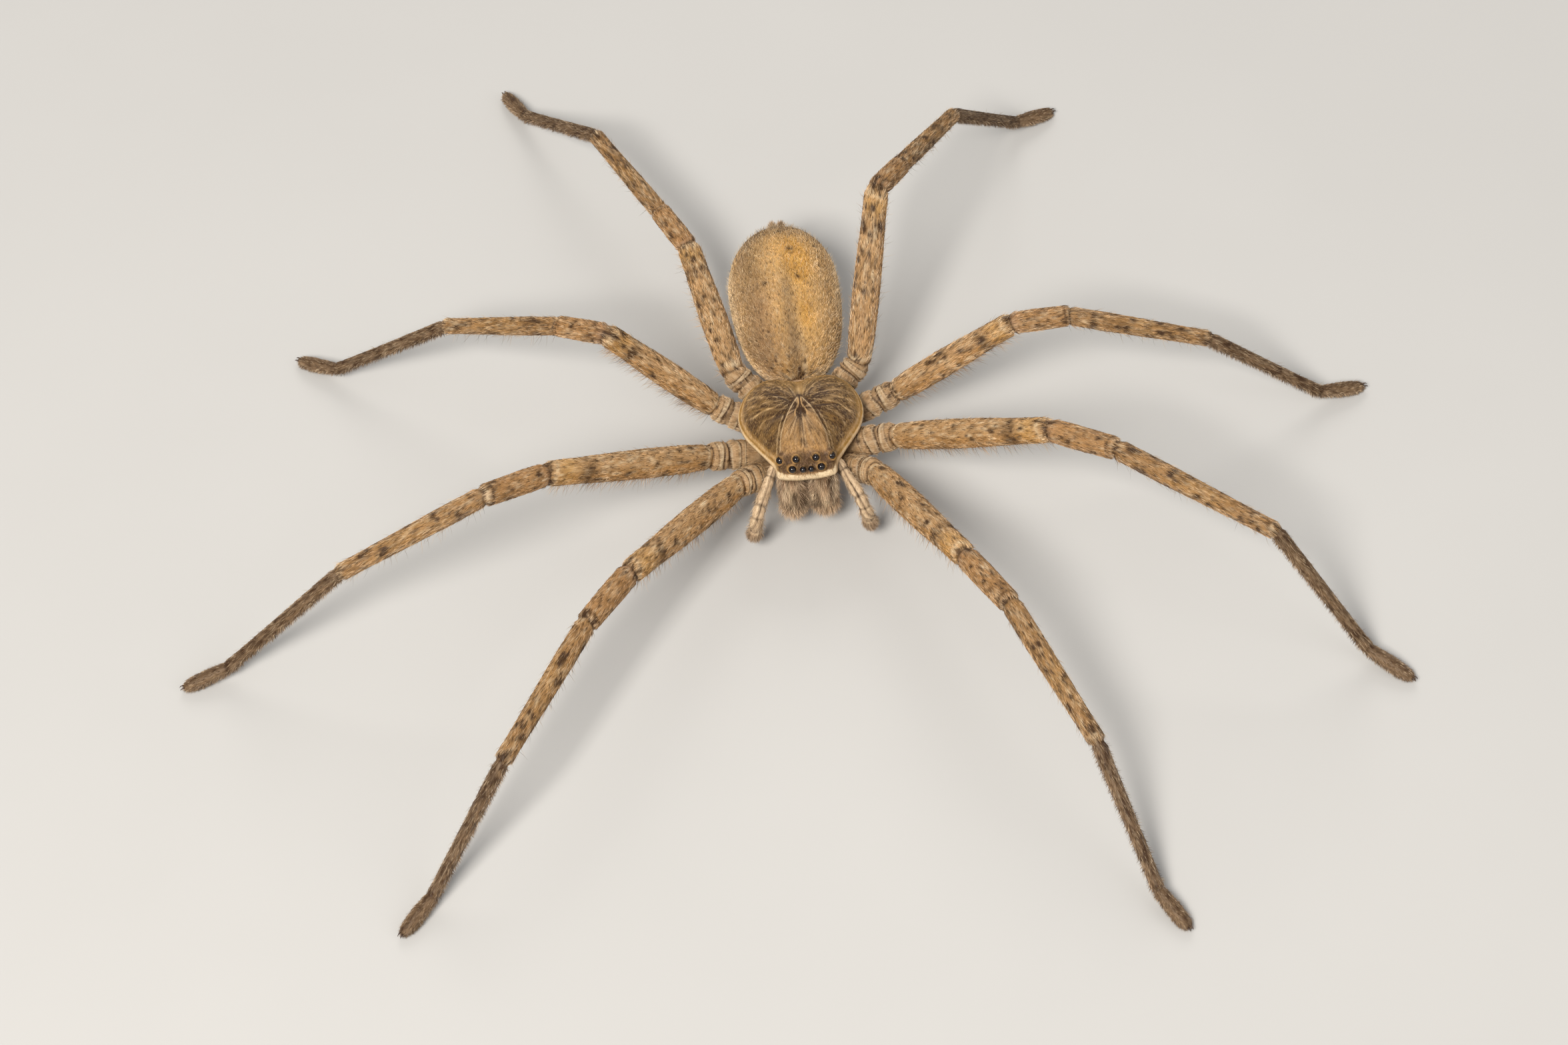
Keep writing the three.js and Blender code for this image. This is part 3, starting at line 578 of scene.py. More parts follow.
# Materials
class Nodes:
    """Short way to add and join the nodes of one material."""

    def __init__(self, name):
        self.material = bpy.data.materials.new(name)
        self.material.use_nodes = True
        self.tree = self.material.node_tree
        self.shader = self.tree.nodes["Principled BSDF"]

    def add(self, kind, inputs, **settings):
        node = self.tree.nodes.new("ShaderNode" + kind)
        for key, value in settings.items():
            setattr(node, key, value)
        for key, value in inputs.items():
            if isinstance(value, bpy.types.NodeSocket):
                self.tree.links.new(value, node.inputs[key])
            else:
                node.inputs[key].default_value = value
        return node

    def attribute(self, name):
        return self.add("Attribute", {}, attribute_name=name).outputs["Fac"]

    def mix(self, factor, a, b, blend="MIX"):
        node = self.add("Mix", {0: factor, 6: a, 7: b}, data_type="RGBA", blend_type=blend)
        return node.outputs[2]

    def range(self, value, low, high, to_low, to_high):
        inputs = {0: value, 1: low, 2: high, 3: to_low, 4: to_high}
        return self.add("MapRange", inputs).outputs[0]

    def noise(self, scale, detail):
        place = self.add("TexCoord", {}).outputs["Object"]
        inputs = {"Vector": place, "Scale": scale, "Detail": detail, "Roughness": 0.6}
        return self.add("TexNoise", inputs).outputs[0]

    def markings(self, colour):
        for name in MASKS[1:]:
            colour = self.mix(self.attribute(name), colour, COLOURS[name])
        return self.mix(self.attribute("dark"), colour, COLOURS["dark"])

    def bump(self, height, strength, distance):
        inputs = {"Height": height, "Strength": strength, "Distance": distance}
        normal = self.add("Bump", inputs).outputs["Normal"]
        self.tree.links.new(normal, self.shader.inputs["Normal"])

    def colour(self, socket):
        self.tree.links.new(socket, self.shader.inputs["Base Color"])

    def finish(self, **values):
        for key, value in values.items():
            self.shader.inputs[key.replace("_", " ")].default_value = value
        return self.material


def skin_material(name, base, roughness, shade_between_hairs):
    nodes = Nodes(name)
    fine = nodes.noise(5200, 4)
    broad = nodes.noise(700, 3)
    deep = tuple(0.62 * v for v in base[:3]) + (1,)
    colour = nodes.mix(nodes.range(fine, 0.3, 0.7, 0, 1), deep, base)
    # Painted shade: the skin seen between the hairs is darkened
    colour = nodes.mix(shade_between_hairs, nodes.markings(colour), COLOURS["dark"])
    shade = nodes.mix(nodes.range(broad, 0.3, 0.7, 0, 1), (0.55, 0.5, 0.45, 1), WHITE)
    nodes.colour(nodes.mix(0.5, colour, shade, "MULTIPLY"))
    nodes.bump(fine, 0.35, 0.00006)
    return nodes.finish(Roughness=roughness, Specular_IOR_Level=0.18)


def coat_material(name, base, low, high, light):
    nodes = Nodes(name)
    broad = nodes.noise(600, 3)
    tone = nodes.attribute("tone")
    along = nodes.attribute("along")
    colour = nodes.markings(base)
    value = nodes.range(tone, 0, 1, low, high)
    inputs = {"Value": value, "Color": colour, "Saturation": nodes.range(tone, 0, 1, 1.12, 0.86)}
    colour = nodes.add("HueSaturation", inputs).outputs[0]
    colour = nodes.mix(nodes.range(tone, 0.09, 0.15, 0.75, 0), colour, COLOURS["dark"])
    colour = nodes.mix(nodes.range(tone, 0.84, 0.94, 0, 0.55), colour, light)
    # Painted shade: each hair is darkened towards its root
    colour = nodes.mix(nodes.range(along, 0, 1, 0.3, 0), colour, HAIR_ROOT_SHADE)
    shade = nodes.mix(nodes.range(broad, 0.35, 0.65, 0, 1), (0.72, 0.68, 0.63, 1), WHITE)
    nodes.colour(nodes.mix(0.8, colour, shade, "MULTIPLY"))
    return nodes.finish(Roughness=0.5, Specular_IOR_Level=0.3)


def hard_material(name, colour, roughness, coat):
    nodes = Nodes(name)
    cloud = nodes.noise(2500, 2)
    light = tuple(min(1, 2.2 * v) for v in colour[:3]) + (1,)
    nodes.colour(nodes.mix(nodes.range(cloud, 0.35, 0.75, 0, 1), colour, light))
    nodes.bump(cloud, 0.05, 0.00002)
    return nodes.finish(Roughness=roughness, Coat_Weight=coat, Coat_Roughness=0.03)


def dress(piece, material, slot, *nodes):
    piece.data.materials.append(material)
    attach(piece, "root")
    if nodes:
        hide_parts(*nodes)


def dress_fur(part, name, skin, sets, *nodes):
    """A skin in place of its nodes, and its coat, in the looks of one part."""
    dress(skin.mesh("skin_" + name), skin_looks[part], SLOTS[part], *nodes)
    dress(build_coat("coat_" + name, sets), coat_looks[part], SLOTS[part])


# Legs
def leg_joints(side, pair, hip, lengths, headings, climbs):
    flip = np.array((side, 1, 1))
    joints = [np.array(HIP_ROOTS[pair]) * flip, np.array(hip) * flip]
    goals = (None, None, None, ANKLE_Z, TOE_Z)
    for k, length in enumerate(lengths):
        if goals[k] is None:
            climb = math.radians(climbs[k])
        else:
            climb = math.asin((goals[k] - joints[-1][2]) / length)
        turn = math.radians(headings[k])
        step = (math.cos(turn) * math.cos(climb), math.sin(turn) * math.cos(climb), math.sin(climb))
        joints.append(joints[-1] + length * np.array(step))
    return joints


def leg_rows(joints):
    """The leg's middle line with rounded corners: points, segment of each and place along it.
    Rows lie closer together on the hip and by the joints, where the creases are."""
    line, marks = [joints[0]], []
    for before, joint, after in zip(joints[:-2], joints[1:-1], joints[2:]):
        start = joint + unit(before - joint) * CORNER_REACH
        end = joint + unit(after - joint) * CORNER_REACH
        t = np.linspace(0, 1, CORNER_POINTS)[:, None]
        line += list((1 - t) ** 2 * start + 2 * t * (1 - t) * joint + t * t * end)
        marks.append(len(line) - (CORNER_POINTS + 1) // 2)
    line = np.array(line + [joints[-1]])
    steps = np.r_[0, np.cumsum(np.linalg.norm(np.diff(line, axis=0), axis=1))]
    ends = np.r_[0, steps[marks], steps[-1]]
    fine = np.arange(0, steps[-1], ROW_STEP)
    near = np.min(np.abs(fine[:, None] - ends[None]), axis=1)
    density = np.where((near < CLOSE_REACH) | (fine < ends[1]), 1 / CLOSE_ROWS, 1 / WIDE_ROWS)
    total = np.r_[0, np.cumsum(density) * ROW_STEP]
    at = np.interp(np.linspace(0, total[-1], int(total[-1])), total, np.r_[fine, steps[-1]])
    path = np.stack([np.interp(at, steps, line[:, k]) for k in range(3)], -1)
    segment = np.clip(np.searchsorted(ends, at, side="right") - 1, 0, TARSUS)
    place = (at - ends[segment]) / (ends[segment + 1] - ends[segment])
    return path, segment, np.clip(place, 0, 1)


def hip_rings(t, turn, phase, rings):
    """Broken rings round a hip piece, each a little askew."""
    total = 0
    for k, (centre, width) in enumerate(rings):
        slant = 0.02 * np.sin(turn + phase) + 0.022 * np.sin(turn + 2.1 * k) + 0.006 * np.sin(3 * turn + k)
        strength = 0.7 + 0.3 * np.sin(turn * (1 + k % 2) + phase + 1.9 * k)[None]
        total = total + strength * bell(t + slant[None], centre, width)
    return total


def leg_masks(shape, segment, place, turn, pair, phase):
    masks = no_masks(shape)
    t = place[:, None] + 0.012 * np.sin(2 * turn + 1)[None]
    up = np.cos(turn)[None]
    lateral = np.abs(np.sin(turn))[None]
    low = smooth(0.6, -0.1, up)
    angle = np.abs((turn + math.pi) % FULL_TURN - math.pi)[None]

    def put(kind, **values):
        rows = segment == kind
        for key, value in values.items():
            masks[key][rows] += np.broadcast_to(value, shape)[rows]

    stripes = 0.5 + 0.5 * (np.sin(turn * 9 + phase) * np.cos(turn * 4 + 2 * phase))[None]
    # Painted highlights on the ridges between the hip's creases; the pale stripes are the hip's own
    put(HIP, pale=0.2 + 1.2 * hip_rings(t, turn, phase, HIP_RIDGE_HIGHLIGHTS) + 0.25 * stripes, pink=0.1, warm=0.1)
    # Painted shade in the hip's creases; the dark ring at its end is the joint's own colour
    put(HIP, dark=0.14 + 1.1 * hip_rings(t, turn, phase, HIP_CREASES) + 0.8 * bell(t, 1, 0.015))
    put(HIP, grey=0.35 * bell(t, 0.7, 0.04) + 0.3 * smooth(0.3, 0.1, t) + 0.1 * (1 - stripes))
    smudge = bell(t, 0.77, 0.035) * (0.3 + 0.5 * lateral) + 0.6 * bell(t, 0.3, 0.035) * smooth(0.4, -0.5, up)
    put(FEMUR, warm=0.05 + 0.4 * bell(t, 0.9, 0.06), grey=0.05 + 0.25 * smooth(0.1, -0.8, up))
    put(FEMUR, dark=0.9 * smudge + 0.75 * bell(t, 0, 0.008) + 0.85 * bell(t, 1, 0.01))
    # Painted light: the femur's upper side is made paler, as if lit from above
    put(FEMUR, pale=0.16 * smooth(0.3, 0.9, up) + 0.55 * bell(t, 0.03, 0.012) + 0.6 * bell(t, 0.965, 0.012))
    put(PATELLA, pink=0.08 + 0.3 * bell(t, 0, 0.1), pale=0.4 * bell(t, 0.975, 0.02))
    put(PATELLA, grey=0.06 + 0.08 * np.sin(5 * turn + phase)[None] ** 2)
    put(PATELLA, dark=0.05 + 0.7 * bell(t, 0.92, 0.018) + 0.8 * bell(t, 0, 0.03) + 0.8 * bell(t, 1, 0.015))
    patch = bell(t, 0.15, 0.035) * low
    if pair == 2:
        patch = patch + 0.8 * bell(t, 0.55, 0.04) * low
    put(TIBIA, warm=0.05 + 0.2 * bell(t, 0.5, 0.25), grey=0.26 + 0.25 * smooth(0, -0.8, up))
    put(TIBIA, dark=0.07 + 0.85 * patch + 0.7 * bell(t, 0, 0.008) + 0.7 * bell(t, 1, 0.008))
    put(TIBIA, pale=0.55 * bell(t, 0.97, 0.012))
    put(METATARSUS, grey=0.8 + 0.1 * smooth(0, -0.7, up), pale=0.25 * bell(angle, 0.5, 0.2))
    ends = 0.4 * bell(t, 0, 0.015) + 0.5 * bell(t, 0.985, 0.01)
    put(METATARSUS, dark=0.2 + 0.3 * bell(angle, 0, 0.25) + ends)
    put(TARSUS, warm=0.2 * bell(angle, 0, 0.7), grey=0.85, pale=0.15 * smooth(0.1, -0.6, up))
    put(TARSUS, dark=0.5 * bell(angle, 0, 0.5) + 0.4 * bell(t, 0, 0.04))
    return masks


def leg_skin(name):
    pair = LEGS[name][1]
    joints = leg_joints(*LEGS[name])
    path, segment, place = leg_rows(joints)
    radii = np.zeros(len(path))
    for kind in range(6):
        rows = segment == kind
        full = follow(SEGMENT_PROFILES[kind], place[rows]) * SEGMENT_RADIUS[kind][pair]
        radii[rows] = full - SEGMENT_COAT[kind]
    soft = np.convolve(np.pad(radii, 1, mode="edge"), SOFTENING, "valid")
    wide = 1 + TARSUS_WIDENING * smooth(0.1, 0.5, (segment == TARSUS) * place)
    points, turn = tube(path, np.maximum(soft, THINNEST), LEG_COLS, wide)
    shape = points.shape[:2]
    masks = leg_masks(shape, segment, place, turn, pair, rng.uniform(0, FULL_TURN))
    spots = no_masks(shape)
    add_flecks(points, spots, "leg")
    weight = SEGMENT_FLECKS[segment][:, None]
    mark(masks, dark=spots["dark"] * weight, pale=spots["pale"] * np.maximum(weight, LEAST_PALE_FLECKS))
    creased = Skin(points, masks)
    depth = CREASE_DEPTH * creased.masks["dark"] * (segment == HIP)[:, None]
    points = points - creased.normal * depth[..., None]
    points[..., 2] = np.maximum(points[..., 2], FLOOR_GAP)
    skin = Skin(points, masks)
    skin.segment, skin.angle, skin.joints = segment, turn, joints
    return skin


def leg_coat(skin):
    up = np.cos(skin.angle)[None]
    kind = skin.segment[:, None]
    standing = np.where((kind == HIP) | (kind == PATELLA), 0.45, 1.0) * (1.15 - 0.75 * up)
    fringe = (kind == FEMUR) * smooth(-0.3, -0.95, up) + (kind == TIBIA) * 0.3 * smooth(-0.5, -1, up)
    brush = smooth(0.25, -0.35, up) * np.where(kind == TARSUS, 1.6, (kind == METATARSUS) * 0.9)

    def lighter(roots):
        return {"dark": 0.5 * roots["masks"]["dark"], "pale": 0.3}

    return [
        grow(skin, "leg_short", np.where(kind == HIP, 1.0, 1.1)),
        grow(skin, "leg_dash", kind != HIP, paint={"dark": 0.85, "pale": 0.0}, sink=0.0),
        grow(skin, "leg_stand", standing, paint=lighter),
        grow(skin, "leg_fringe", fringe),
        grow(skin, "leg_pad", brush, paint={"grey": 0.75, "pale": 0.25}),
    ]


def horn(path, radius, cols=10, rows=14):
    """A tapering, curved point, closed at both ends."""
    line = catmull_rom(path, rows)
    share = np.linspace(0, 1, rows)
    radii = radius * np.maximum((1 - share ** 1.5) ** 0.8, 0.03)
    points, _ = tube(line, radii, cols)
    return Skin(points, no_masks(points.shape[:2]))


def join(name, skins):
    pieces = [skin.mesh(f"{name}_{k}") for k, skin in enumerate(skins)]
    with bpy.context.temp_override(active_object=pieces[0], selected_editable_objects=pieces):
        bpy.ops.object.join()
    pieces[0].name = name
    return pieces[0]


def claw_skins(skin):
    ankle, toe = skin.joints[-2], skin.joints[-1]
    ahead = unit((toe - ankle) * np.array((1, 1, 0)))
    across = np.cross(ahead, UP)
    found = []
    for side, _ in SIDES:
        start = toe + across * CLAW_SPREAD * side - ahead * 0.12 + UP * 0.06
        path = [start + ahead * far + UP * high for far, high in CLAW_CURVE]
        found.append(horn(path, CLAW_RADIUS))
    return found


def make_legs():
    for leg in LEGS:
        skin = leg_skin(leg)
        nodes = [f"leg_{leg}_{part}" for part in ("hip", "femur", "patella", "tibia", "foot")]
        dress_fur("leg", "leg_" + leg, skin, leg_coat(skin), *nodes)
        dress(join("claws_" + leg, claw_skins(skin)), hard_looks["claw"], "dark_claw")


# Front body
def shield_height(x, y, share):
    heading = np.abs(np.degrees(np.arctan2(x, -(y - SHIELD_APEX_Y))))
    front = 1 - smooth(20, 50, heading)
    rear = smooth(120, 180, heading)
    power = SIDE_POWER + (FRONT_POWER - SIDE_POWER) * front - REAR_POWER * rear
    dome = np.maximum(0, 1 - share ** power) ** (SIDE_CURVE + (FRONT_CURVE - SIDE_CURVE) * front)
    eye_slope = 1.05 * front * smooth(0.68, 1.02, share)
    crown = SHIELD_TOP_Z - SHIELD_RIM_Z - eye_slope - 0.2 * rear * share
    height = SHIELD_RIM_Z + crown * dome
    height -= FOVEA_DEPTH * bell(x, 0, FOVEA_HALF_WIDTH) * bell(y, FOVEA_Y, FOVEA_HALF_LENGTH)
    along = smooth(0.12, 0.35, share) * (1 - smooth(0.7, 0.9, share))
    for furrow in FURROWS:
        height -= FURROW_DEPTH * bell(heading, furrow, 6) * along
    veins, bound, head = shield_lines(x, y, share)
    height += VEIN_HEIGHT * veins + HEAD_HEIGHT * head * smooth(0.15, 0.4, share)
    height -= HEAD_GROOVE * bell(np.abs(x), bound + 0.14, 0.12) * head_reach(y)
    height += 0.07 * bell(share, 0.985, 0.016) - 0.06 * bell(share, 0.95, 0.016)
    return height, heading


def head_reach(y):
    """1 on the part of the shield's length along which the head is marked off."""
    return smooth(0.75, 0.45, y) * smooth(-4.6, -4.1, y)


def shield_lines(x, y, share):
    """Veins spreading over the shield, half width of the raised head, and the head's own area."""
    bound = HEAD_HALF_WIDTH * np.tanh(0.3 * np.maximum(0.9 - y, 0))
    head = smooth(0.1, -0.1, np.abs(x) - bound) * smooth(0.8, 0.4, y)
    heading = np.abs(np.degrees(np.arctan2(x, VEIN_CENTRE_Y - y)))
    wander = heading + 2.4 * np.sin(share * 7 + np.sign(x)) + 1.5 * np.sin(share * 17 + heading * 0.1)
    away = np.hypot(x, y - VEIN_CENTRE_Y)
    out = smooth(0.35, 0.9, away) * (1 - smooth(0.78, 0.92, share)) * (1 - head)
    broken = 0.7 + 0.3 * np.sin(away * 5.1 + heading * 0.35)
    veins = sum(bell(wander, vein, VEIN_WIDTH) * (0.6 + 0.4 * (k % 2)) for k, vein in enumerate(VEINS))
    return veins * out * broken, bound, head


def each_eye():
    """Name, middle, radius, way it looks and share of the radius that the ball has, for each eye."""
    for name, (centre, radius, axis, share) in EYES.items():
        for side, label in SIDES:
            flip = np.array((side, 1, 1))
            yield f"{name}_{label}", np.array(centre) * flip, radius, unit(np.array(axis)) * flip, share


def eye_rims(points):
    """1 on the skin close round each eye."""
    rims = np.zeros(points.shape[:2])
    for _, centre, radius, _, _ in each_eye():
        gap = np.linalg.norm(points - centre, axis=-1)
        rims = np.maximum(rims, smooth(radius * 1.5, radius * 1.3, gap))
    return rims


def shield_masks(points, share, heading):
    """Markings of the shield's back: dark lobes with pale veins, the head between pale lines."""
    x, y = points[..., 0], points[..., 1]
    side = np.abs(x)
    masks, spots = no_masks(share.shape), no_masks(share.shape)
    veins, bound, head = shield_lines(x, y, share)
    inside = 1 - smooth(0.88, 0.95, share)
    lobes = (1 - head) * inside
    add_flecks(points, spots, "shield")
    reach = head_reach(y)
    line = bell(side, bound, 0.06) + 0.7 * bell(side, bound + 0.28, 0.045) * smooth(-0.4, -1.2, y)
    line = line * reach
    groove = bell(side, bound + 0.15, 0.06) + 0.5 * bell(side, bound - 0.16, 0.05)
    pit_edge = 0.36 * smooth(0.1, -0.95, y)
    # Painted shade in the fovea's pit
    fovea_shade = smooth(0.06, -0.06, side - pit_edge) * smooth(-1.42, -1.2, y) * smooth(0.15, -0.1, y)
    pit_rim = bell(side, pit_edge + 0.09, 0.06) * smooth(-1.3, -1.0, y) * smooth(0.9, 0.4, y)
    eyeward = smooth(-4.3, -3.9, y)
    middle = bell(x, 0, 0.035) * smooth(-1.2, -1.5, y) * eyeward
    beside_middle = bell(side, 0.1, 0.035) * smooth(-1.3, -1.6, y) * eyeward
    patches = 0.75 + 0.25 * bell(heading, 75, 25) + 0.25 * bell(heading, 140, 25)
    cloud = 0.5 + 0.5 * np.sin(2.3 * x + 1.1 * y + 1) * np.sin(1.7 * y - 1.3 * x)
    neck = bell(x, 0.05, 0.16 + 0.12 * np.maximum(y, 0)) * smooth(0.5, 1.2, y) * inside
    mark(masks, dark=(0.7 + 0.24 * cloud) * lobes * patches + 0.13 * head + 0.5 * bell(share, 0.962, 0.01))
    mark(masks, dark=0.22 * groove * reach + 0.32 * fovea_shade + 0.6 * middle + 0.5 * spots["dark"] * inside)
    masks["dark"] *= 1 - 0.85 * np.clip(veins + pit_rim + 0.75 * neck + line, 0, 1)
    mark(masks, pale=0.85 * veins + 0.85 * line + 0.9 * smooth(0.98, 0.99, share) + 0.45 * beside_middle)
    mark(masks, pale=0.4 * bell(share, 0.935, 0.008) + 0.5 * spots["pale"] + 0.5 * pit_rim + 0.3 * neck)
    mark(masks, warm=0.22 + 0.06 * head + 0.5 * pit_rim + 0.3 * np.clip(veins, 0, 1) + 0.35 * neck)
    mark(masks, warm=0.4 * bell(y, -4.2, 0.22) * bell(side, 0.8, 0.5) + 0.3 * lobes * smooth(2.2, 3.6, y))
    mark(masks, pink=0.25 * head, grey=0.14 * head)
    return masks


def mark_face(points, share, heading, masks):
    """The dark field that holds the eyes, with a rim round each, and the pale band below it."""
    x, y, z = points[..., 0], points[..., 1], points[..., 2]
    side = np.abs(x)
    field = smooth(-4.25, -4.6, y) * smooth(2.3, 2.05, side) * smooth(BROW_Z - 0.1, BROW_Z + 0.15, z)
    corner = smooth(0.42, 0.2, np.hypot(side - 1.95, y + 4.35)) * (1 - smooth(0.88, 0.95, share))
    field = np.maximum(field, corner)
    for key in ("pale", "warm"):
        masks[key] *= 1 - 0.7 * field
    rims = eye_rims(points)
    mark(masks, pink=0.3 * field * (1 - rims), warm=0.8 * rims * field)
    masks["dark"] = masks["dark"] * (1 - field) + (0.8 - 0.28 * rims) * field
    masks["grey"] = (masks["grey"] * (1 - field) + 0.45 * field) * (1 - rims)
    brow = BROW_Z - 0.2 * bell(x, 0, 1.3) + 0.05 * np.sin(9 * x) + 0.035 * np.sin(23 * x + 1)
    band = smooth(30, 26, heading) * smooth(0.9, 0.95, share) * smooth(0.05, -0.05, z - brow)
    for key in MASKS:
        masks[key] = masks[key] * (1 - band)
    mark(masks, pale=band)


def shield_skin():
    left = list(SHIELD_HALF_OUTLINE)
    right = [(-x, y) for x, y in SHIELD_HALF_OUTLINE[-2:0:-1]]
    rim = catmull_rom(left + right, SHIELD_COLS, closed=True)

    def spread(share):
        x = rim[None, :, 0] * share[:, None]
        y = SHIELD_APEX_Y + (rim[None, :, 1] - SHIELD_APEX_Y) * share[:, None]
        return x, y

    share = np.r_[np.linspace(0.012, 0.84, 62), np.linspace(0.85, 0.995, 34), 1.0]
    x, y = spread(share)
    full = np.broadcast_to(share[:, None], x.shape)
    z, heading = shield_height(x, y, full)
    top = np.stack([x, y, z], -1)
    masks = shield_masks(top, full, heading)
    mark_face(top, full, heading, masks)
    top = top - Skin(top, masks).normal * SHIELD_COAT
    for _, centre, radius, axis, _ in each_eye():
        gap = np.linalg.norm(top - centre, axis=-1)
        collar = 0.85 * radius * bell(gap, radius * 1.18, radius * 0.4)
        top = top + collar[..., None] * axis
    x, y = spread(UNDER_SHARES)
    z = np.broadcast_to(UNDER_RISES[:, None] + SHIELD_UNDER_Z, x.shape)
    points = np.concatenate([top, np.stack([x, y, z], -1)])
    masks = {key: np.concatenate([value, np.zeros(x.shape)]) for key, value in masks.items()}
    masks["pale"][-len(UNDER_SHARES):] = 0.5
    skin = Skin(points, masks)
    skin.share = np.concatenate([full, np.full(x.shape, 2.0)])
    skin.heading = np.concatenate([heading, np.full(x.shape, 180.0)])
    return skin


def shield_coat(skin):
    y = skin.points[..., 1]
    on_top = (skin.share < np.where(y < FRONT_FACE_Y, 0.997, 0.957)) * 1.0
    open_skin = on_top * (1 - eye_rims(skin.points))
    field = smooth(0.15, 0.45, skin.masks["grey"])
    behind_face = y > FRONT_FACE_Y
    sparse = 1 - 0.6 * np.clip(skin.masks["pale"] * behind_face, 0, 1)
    crest = smooth(50, 30, skin.heading) * (y < -1) * behind_face
    edge = (skin.share < 1.5) * smooth(0.93, 0.97, skin.share) * behind_face

    def some_golden(roots):
        dark = roots["masks"]["dark"]
        return {"dark": dark * np.where(rng.random(len(dark)) < 0.4, 0.3, 1.0)}

    def outward(roots):
        radial = (roots["points"] - np.array((0, VEIN_CENTRE_Y, 0))) * np.array((1, 1, 0))
        lie = unit(radial) * 0.8 + np.array((0, -0.5, 0))
        lie[roots["points"][:, 1] < FRONT_FACE_Y] += np.array((0, 0, -1.5))
        return lie

    def frosted(roots):
        middle = bell(roots["points"][:, 0], 0, 0.4)
        return {"dark": 0.7 - 0.6 * middle, "pale": 0.5 * middle}

    return [
        grow(skin, "shield_short", open_skin * (1 - 0.7 * field) * sparse, outward, some_golden),
        grow(skin, "shield_crest", open_skin * crest, FORWARD),
        grow(skin, "eye_frost", open_skin * field, FORWARD_AND_UP, frosted),
        grow(skin, "eye_brow", open_skin * field, FORWARD_AND_UP),
        grow(skin, "shield_edge", edge),
    ]


def under_skin():
    """The plate between the hips, the soft side walls up to the shield, and the lip."""
    turn = turns(96)
    fine = catmull_rom(UNDER_PROFILE, 60)
    reach = fine[:, 0][:, None]
    x = UNDER_HALF_WIDTH * reach * np.sin(turn)[None] * (1 - 0.1 * np.cos(turn)[None])
    y = UNDER_CENTRE_Y - UNDER_HALF_LENGTH * np.minimum(reach, 1.38) * np.cos(turn)[None]
    z = np.broadcast_to(fine[:, 1][:, None], x.shape)
    lip = bell(x, 0, 0.75) * bell(y, -3.2, 0.5) * smooth(4.6, 3.6, z)
    z = z - 0.12 * lip
    points = np.stack([x, y, z], -1)
    masks = no_masks(x.shape)
    add_flecks(points, masks, "under")
    masks["dark"] *= smooth(0.15, 0.5, reach)
    walls = smooth(4.4, 5.2, z)
    plate = smooth(3.8, 3.2, z)
    mark(masks, pale=0.08 + 0.45 * walls, pink=0.1 + 0.3 * walls, grey=0.2 * plate)
    mark(masks, dark=0.4 * bell(reach, 0.97, 0.06) * smooth(3.8, 3.3, z) + 0.1 * plate)
    return Skin(points, masks)


def stalk_skin():
    path = np.stack([
        np.zeros(STALK_ROWS), np.linspace(*STALK_ENDS, STALK_ROWS), np.full(STALK_ROWS, STALK_Z),
    ], -1)
    points, _ = tube(path, np.full(STALK_ROWS, STALK_RADIUS), 24)
    masks = no_masks(points.shape[:2])
    mark(masks, grey=0.3, dark=0.6)
    return Skin(points, masks)


def jaw_skin(side):
    rows = 56
    path = catmull_rom([(side * x, y, z) for x, y, z in JAW_PATH], rows)
    share = np.linspace(0, 1, rows)
    radii = follow(JAW_PROFILE, share) * JAW_RADIUS - JAW_COAT
    points, _ = tube(path, radii, 44, across=(1.0, 0.0, 0.0))
    points[..., 2] = np.minimum(points[..., 2], JAW_TOP_Z)
    points[..., 0] = side * np.maximum(side * points[..., 0], JAW_GAP)
    masks = no_masks(points.shape[:2])
    add_flecks(points, masks, "jaw")
    share = share[:, None]
    # Darker at the top: painted shade under the front of the shield
    mark(masks, grey=0.1, pink=0.2, dark=0.3 * smooth(0.25, 0.0, share))
    mark(masks, pale=0.5 * smooth(0.84, 0.96, share))
    return Skin(points, masks)


def jaw_coat(skin):
    low = skin.row_shares()
    off_middle = np.abs(skin.points[..., 0])
    outer = smooth(0.08, 0.16, off_middle)

    def inward(roots):
        toward = -np.sign(roots["points"][:, 0])
        return np.stack([toward, np.full(len(toward), -0.5), np.full(len(toward), -1.4)], -1)

    return [
        grow(skin, "jaw_dense", outer),
        grow(skin, "jaw_fringe", smooth(0.66, 0.93, low) * outer, paint={"pale": 0.4, "dark": 0.0}),
        grow(skin, "jaw_inner", smooth(0.8, 0.5, off_middle) * (0.3 + smooth(0.3, 0.8, low)), inward),
        grow(skin, "jaw_long", outer * smooth(0.05, 0.2, low)),
    ]


def palp_skin(side):
    rows = 110
    path = catmull_rom([(side * x, y, z) for x, y, z in PALP_PATH], rows)
    share = np.linspace(0, 1, rows)
    points, turn = tube(path, follow(PALP_PROFILE, share) * PALP_RADIUS - PALP_COAT, 28)
    masks = no_masks(points.shape[:2])
    share = share[:, None]
    angle = (turn[None] + 0.5 * side) % FULL_TURN
    joint = sum(bell(share, place, 0.012) for place in PALP_JOINTS)
    lines = sum(bell(angle, place, 0.13) for place in (1.0, 2.2, 4.1, 5.4)) * smooth(0.76, 0.7, share)
    ridges = sum(bell(angle, place, 0.18) for place in (0.5, 1.6, 3.1, 5.9))
    mark(masks, pink=0.25, grey=0.1 + 0.4 * smooth(0.76, 0.86, share))
    mark(masks, pale=0.57 - 0.25 * smooth(0.78, 0.85, share) + 0.5 * ridges)
    mark(masks, dark=0.22 * smooth(0.84, 0.95, share) + 0.6 * joint + 0.75 * lines)
    add_flecks(points, masks, "palp")
    return Skin(points, masks)


